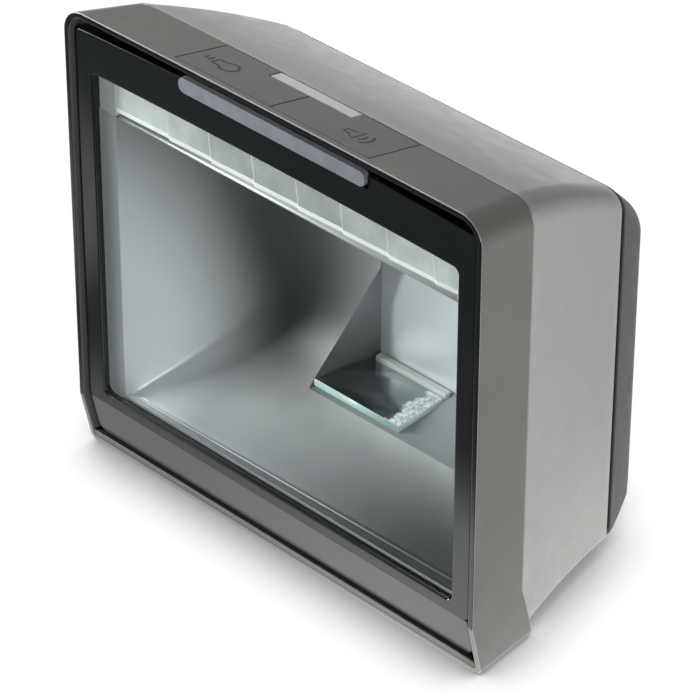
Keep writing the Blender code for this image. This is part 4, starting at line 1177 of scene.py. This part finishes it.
def stroke(bm, points, width, closed=False):
    """A thin ribbon along points on the caps' crowned top."""
    count = len(points)
    pairs = []
    for i, (x, y) in enumerate(points):
        before = points[i - 1] if i or closed else points[i]
        after = points[(i + 1) % count] if i < count - 1 or closed else points[i]
        along = Vector((after[0] - before[0], after[1] - before[1])).normalized() * width / 2
        sides = ((x - along.y, y + along.x), (x + along.y, y - along.x))
        pairs.append([bm.verts.new((u, v, bezel_top(u, v) + SYMBOL_HEIGHT)) for u, v in sides])
    if closed:
        pairs.append(pairs[0])
    for a, b in zip(pairs, pairs[1:]):
        bm.faces.new((a[0], a[1], b[1], b[0]))


def arc(centre, radius, start, end, steps):
    """Points along a part of a circle, from one angle in degrees to another."""
    made = []
    for i in range(steps + 1):
        a = math.radians(start + (end - start) * i / steps)
        made.append((centre[0] + radius * math.cos(a), centre[1] + radius * math.sin(a)))
    return made


bm = bmesh.new()
stroke(bm, arc((-23.6, 10.6), 2.7, -140, 140, 22), 0.75)
stroke(bm, [(-25.7, 12.3), (-28.6, 12.0), (-28.6, 9.2), (-25.7, 8.9)], 0.75)
stroke(bm, [(-30.2, 11.9), (-30.2, 9.3)], 0.75)
stroke(bm, [(-31.8, 11.4), (-31.8, 9.8)], 0.75)
place("left_button_symbol", bm, [glyph_grey], body="left_cap", closed=False, smooth=False)
bm = bmesh.new()
speaker_box = [(19.6, 9.0), (21.4, 9.0), (24.0, 7.2), (24.0, 12.8), (21.4, 11.0), (19.6, 11.0)]
stroke(bm, speaker_box, 0.65, closed=True)
stroke(bm, arc((23.6, 10.0), 2.4, -40, 40, 8), 0.7)
stroke(bm, arc((23.6, 10.0), 4.4, -40, 40, 10), 0.7)
place("right_button_symbol", bm, [glyph_grey], body="right_cap", closed=False, smooth=False)

# ---------------------------------------------------------------- other finishes

LOOKS = {
    "window_glass": clear_window(),
    "window_gasket": seal,
    "seam_gasket": seal,
    "front_light_bar": light_bar(),
    "rear_light_strip": light_pipe("strip_white", (0.8, 0.81, 0.81), 0.05),
    "left_button": button_grey,
    "right_button": button_grey,
    "mirror_retainer": moulded("retainer_pale", (0.78, 0.8, 0.8), 0.35, grain=0.006),
    "button_carrier": moulded("carrier_black", (0.025, 0.025, 0.026), 0.5),
    "chassis_plate": bare_metal("chassis_sheet", (0.6, 0.6, 0.61), 0.35, (1, 1, 12)),
    "processor_shield": bare_metal("tinned_can", (0.66, 0.66, 0.64), 0.25),
    "front_lens": clear_window(),
    "image_sensor": polished_black(),
    "camera_ribbon": moulded("amber_flex", (0.5, 0.27, 0.06), 0.3, grain=0.01),
    "interface_ribbon": moulded("white_flex", (0.7, 0.7, 0.67), 0.35, grain=0.01),
    "speaker": moulded("speaker_black", (0.02, 0.02, 0.022), 0.6),
    "led_board": board_mask("solder_mask_white", (0.72, 0.72, 0.7)),
}
# For the other nodes: the first of these whose word is in the node's name
FAMILIES = (
    ("_board", board_mask("solder_mask_green", (0.012, 0.115, 0.05))),
    ("screw", bare_metal("screw_steel", (0.6, 0.6, 0.61), 0.28)),
    ("spring", bare_metal("spring_wire", (0.66, 0.66, 0.67), 0.2, (12, 12, 1))),
    ("foot", rubber("foot_rubber", 0.02)),
    ("_led", light_pipe("lamp_body", (0.85, 0.8, 0.45), 0.0, 0.3)),
    ("plunger", moulded("plunger_yellow", (0.55, 0.5, 0.1), 0.42, grain=0.015)),
    ("", moulded("socket_black", (0.018, 0.018, 0.019), 0.42, grain=0.02)),
)
for name, node in NODES.items():
    family = next(look for word, look in FAMILIES if word in name)
    node.data.materials.clear()
    node.data.materials.append(LOOKS.get(name, family).material)

# ---------------------------------------------------------------- stage, light, camera

# Glow of the floor as a light source: under the object, to its right, far ahead and far left
BEZEL_PLANE = -MIDDLE * MM
FLOOR_NEAR = (-0.06, 0.06, 0.75, 1.35)
FLOOR_SIDE = (0.078, 0.1, 1.0, 0.62)
FLOOR_SLANT = 0.3
FLOOR_FALL_START = 0.03
FLOOR_FALL_END = 0.072
FLOOR_FAR = 0.12
FLOOR_FAR_LEFT = (-0.125, -0.165, 0.0, 0.8)
FLOOR_LEFT_DEPTH = (-0.185, -0.15, 0.0, 1.0)
CONTACT_REACH = 0.026
CONTACT_TONES = (0.3, 0.9, 0.3, 1.02)


def studio_floor():
    """White to the camera with soft contact shadows; to the object a light, brightest close to its right."""
    made = Surface("sweep_white", (0.93, 0.93, 0.93), 0.7, specular=0.1)
    made.mottle(3, 0.004)
    at = made.axes(made.node("ShaderNodeNewGeometry").outputs["Position"])
    near = made.mixed("MULTIPLY", made.eased(at["X"], *FLOOR_NEAR), made.eased(at["X"], *FLOOR_SIDE))
    slant = made.mixed("MULTIPLY_ADD", at["X"], FLOOR_SLANT, at["Y"])
    ahead = made.eased(slant, BEZEL_PLANE - FLOOR_FALL_START, BEZEL_PLANE - FLOOR_FALL_END, 0.0, 1.0)
    mix = made.node("ShaderNodeMix", {0: ahead, 2: near, 3: FLOOR_FAR}, data_type="FLOAT")
    far_left = made.mixed(
        "MULTIPLY", made.eased(at["X"], *FLOOR_FAR_LEFT), made.eased(at["Y"], *FLOOR_LEFT_DEPTH)
    )
    strength = made.mixed("ADD", mix.outputs[0], far_left)
    glow = made.node("ShaderNodeEmission", {"Strength": strength})
    contact = made.node("ShaderNodeAmbientOcclusion", {"Distance": CONTACT_REACH}, samples=16)
    seen = made.node("ShaderNodeEmission", {"Strength": made.eased(contact.outputs["AO"], *CONTACT_TONES)})
    to_camera = made.node("ShaderNodeLightPath").outputs["Is Camera Ray"]
    choose = made.node("ShaderNodeMixShader", {0: to_camera, 1: glow.outputs[0], 2: seen.outputs[0]})
    made.output(choose.outputs[0])
    return made


bm = bmesh.new()
bmesh.ops.create_grid(bm, x_segments=2, y_segments=2, size=3.0)
sweep = add_mesh("sweep", bm)
sweep.data.materials.append(studio_floor().material)


def aim(thing, at, towards, roll=0.0):
    """Stands a lamp or a camera at a point, looking along a direction."""
    thing.location = at
    thing.rotation_mode = "QUATERNION"
    turn = Matrix.Rotation(roll, 3, "Z").to_quaternion()
    thing.rotation_quaternion = towards.to_track_quat("-Z", "Y") @ turn


def lamp(name, at, size, power):
    """A square area light aimed at the object's middle."""
    light = bpy.data.lights.new(name, "AREA")
    light.shape = "RECTANGLE"
    light.size = size
    light.size_y = size
    light.energy = power
    holder = add(name, light)
    aim(holder, at, CENTRE - Vector(at))


CENTRE = Vector((0.0, 0.0, 0.07))
lamp("top", (-0.65, 0.52, 1.08), 1.0, 6.6)
lamp("left", (-0.80, -0.56, 0.27), 0.35, 13.0)
lamp("right", (0.85, -0.45, 0.15), 0.4, 3.4)

# Sky tone by height, and its strength from the left to the right
SKY = ((0.0, 0.08), (0.14, 0.1), (0.42, 0.32), (0.65, 0.3), (1.0, 0.3))
SKY_SIDE = (-0.1, 0.5, 1.0, 0.15)
world = bpy.data.worlds.new("studio")
bpy.context.scene.world = world
world.use_nodes = True
sky = Nodes(world.node_tree)
at = sky.axes(sky.node("ShaderNodeTexCoord").outputs["Generated"])
tones = {"Color": sky.ramp(at["Z"], SKY), "Strength": sky.eased(at["X"], *SKY_SIDE)}
sky.fill(sky.tree.nodes["Background"], tones)

EYE = Vector((0.62093, -0.63910, 0.65073))
AZIMUTH = math.radians(44.95)
ELEVATION = math.radians(34.19)
ROLL = math.radians(0.16)
towards = Vector(
    (-math.sin(AZIMUTH) * math.cos(ELEVATION), math.cos(AZIMUTH) * math.cos(ELEVATION), -math.sin(ELEVATION))
)
camera_data = bpy.data.cameras.new("camera")
camera_data.lens = 203.5
camera_data.sensor_width = 36.0
camera_data.clip_start = 0.01
camera = add("camera", camera_data)
aim(camera, EYE, towards, ROLL)
bpy.context.scene.camera = camera
bpy.context.scene.view_settings.view_transform = "Standard"
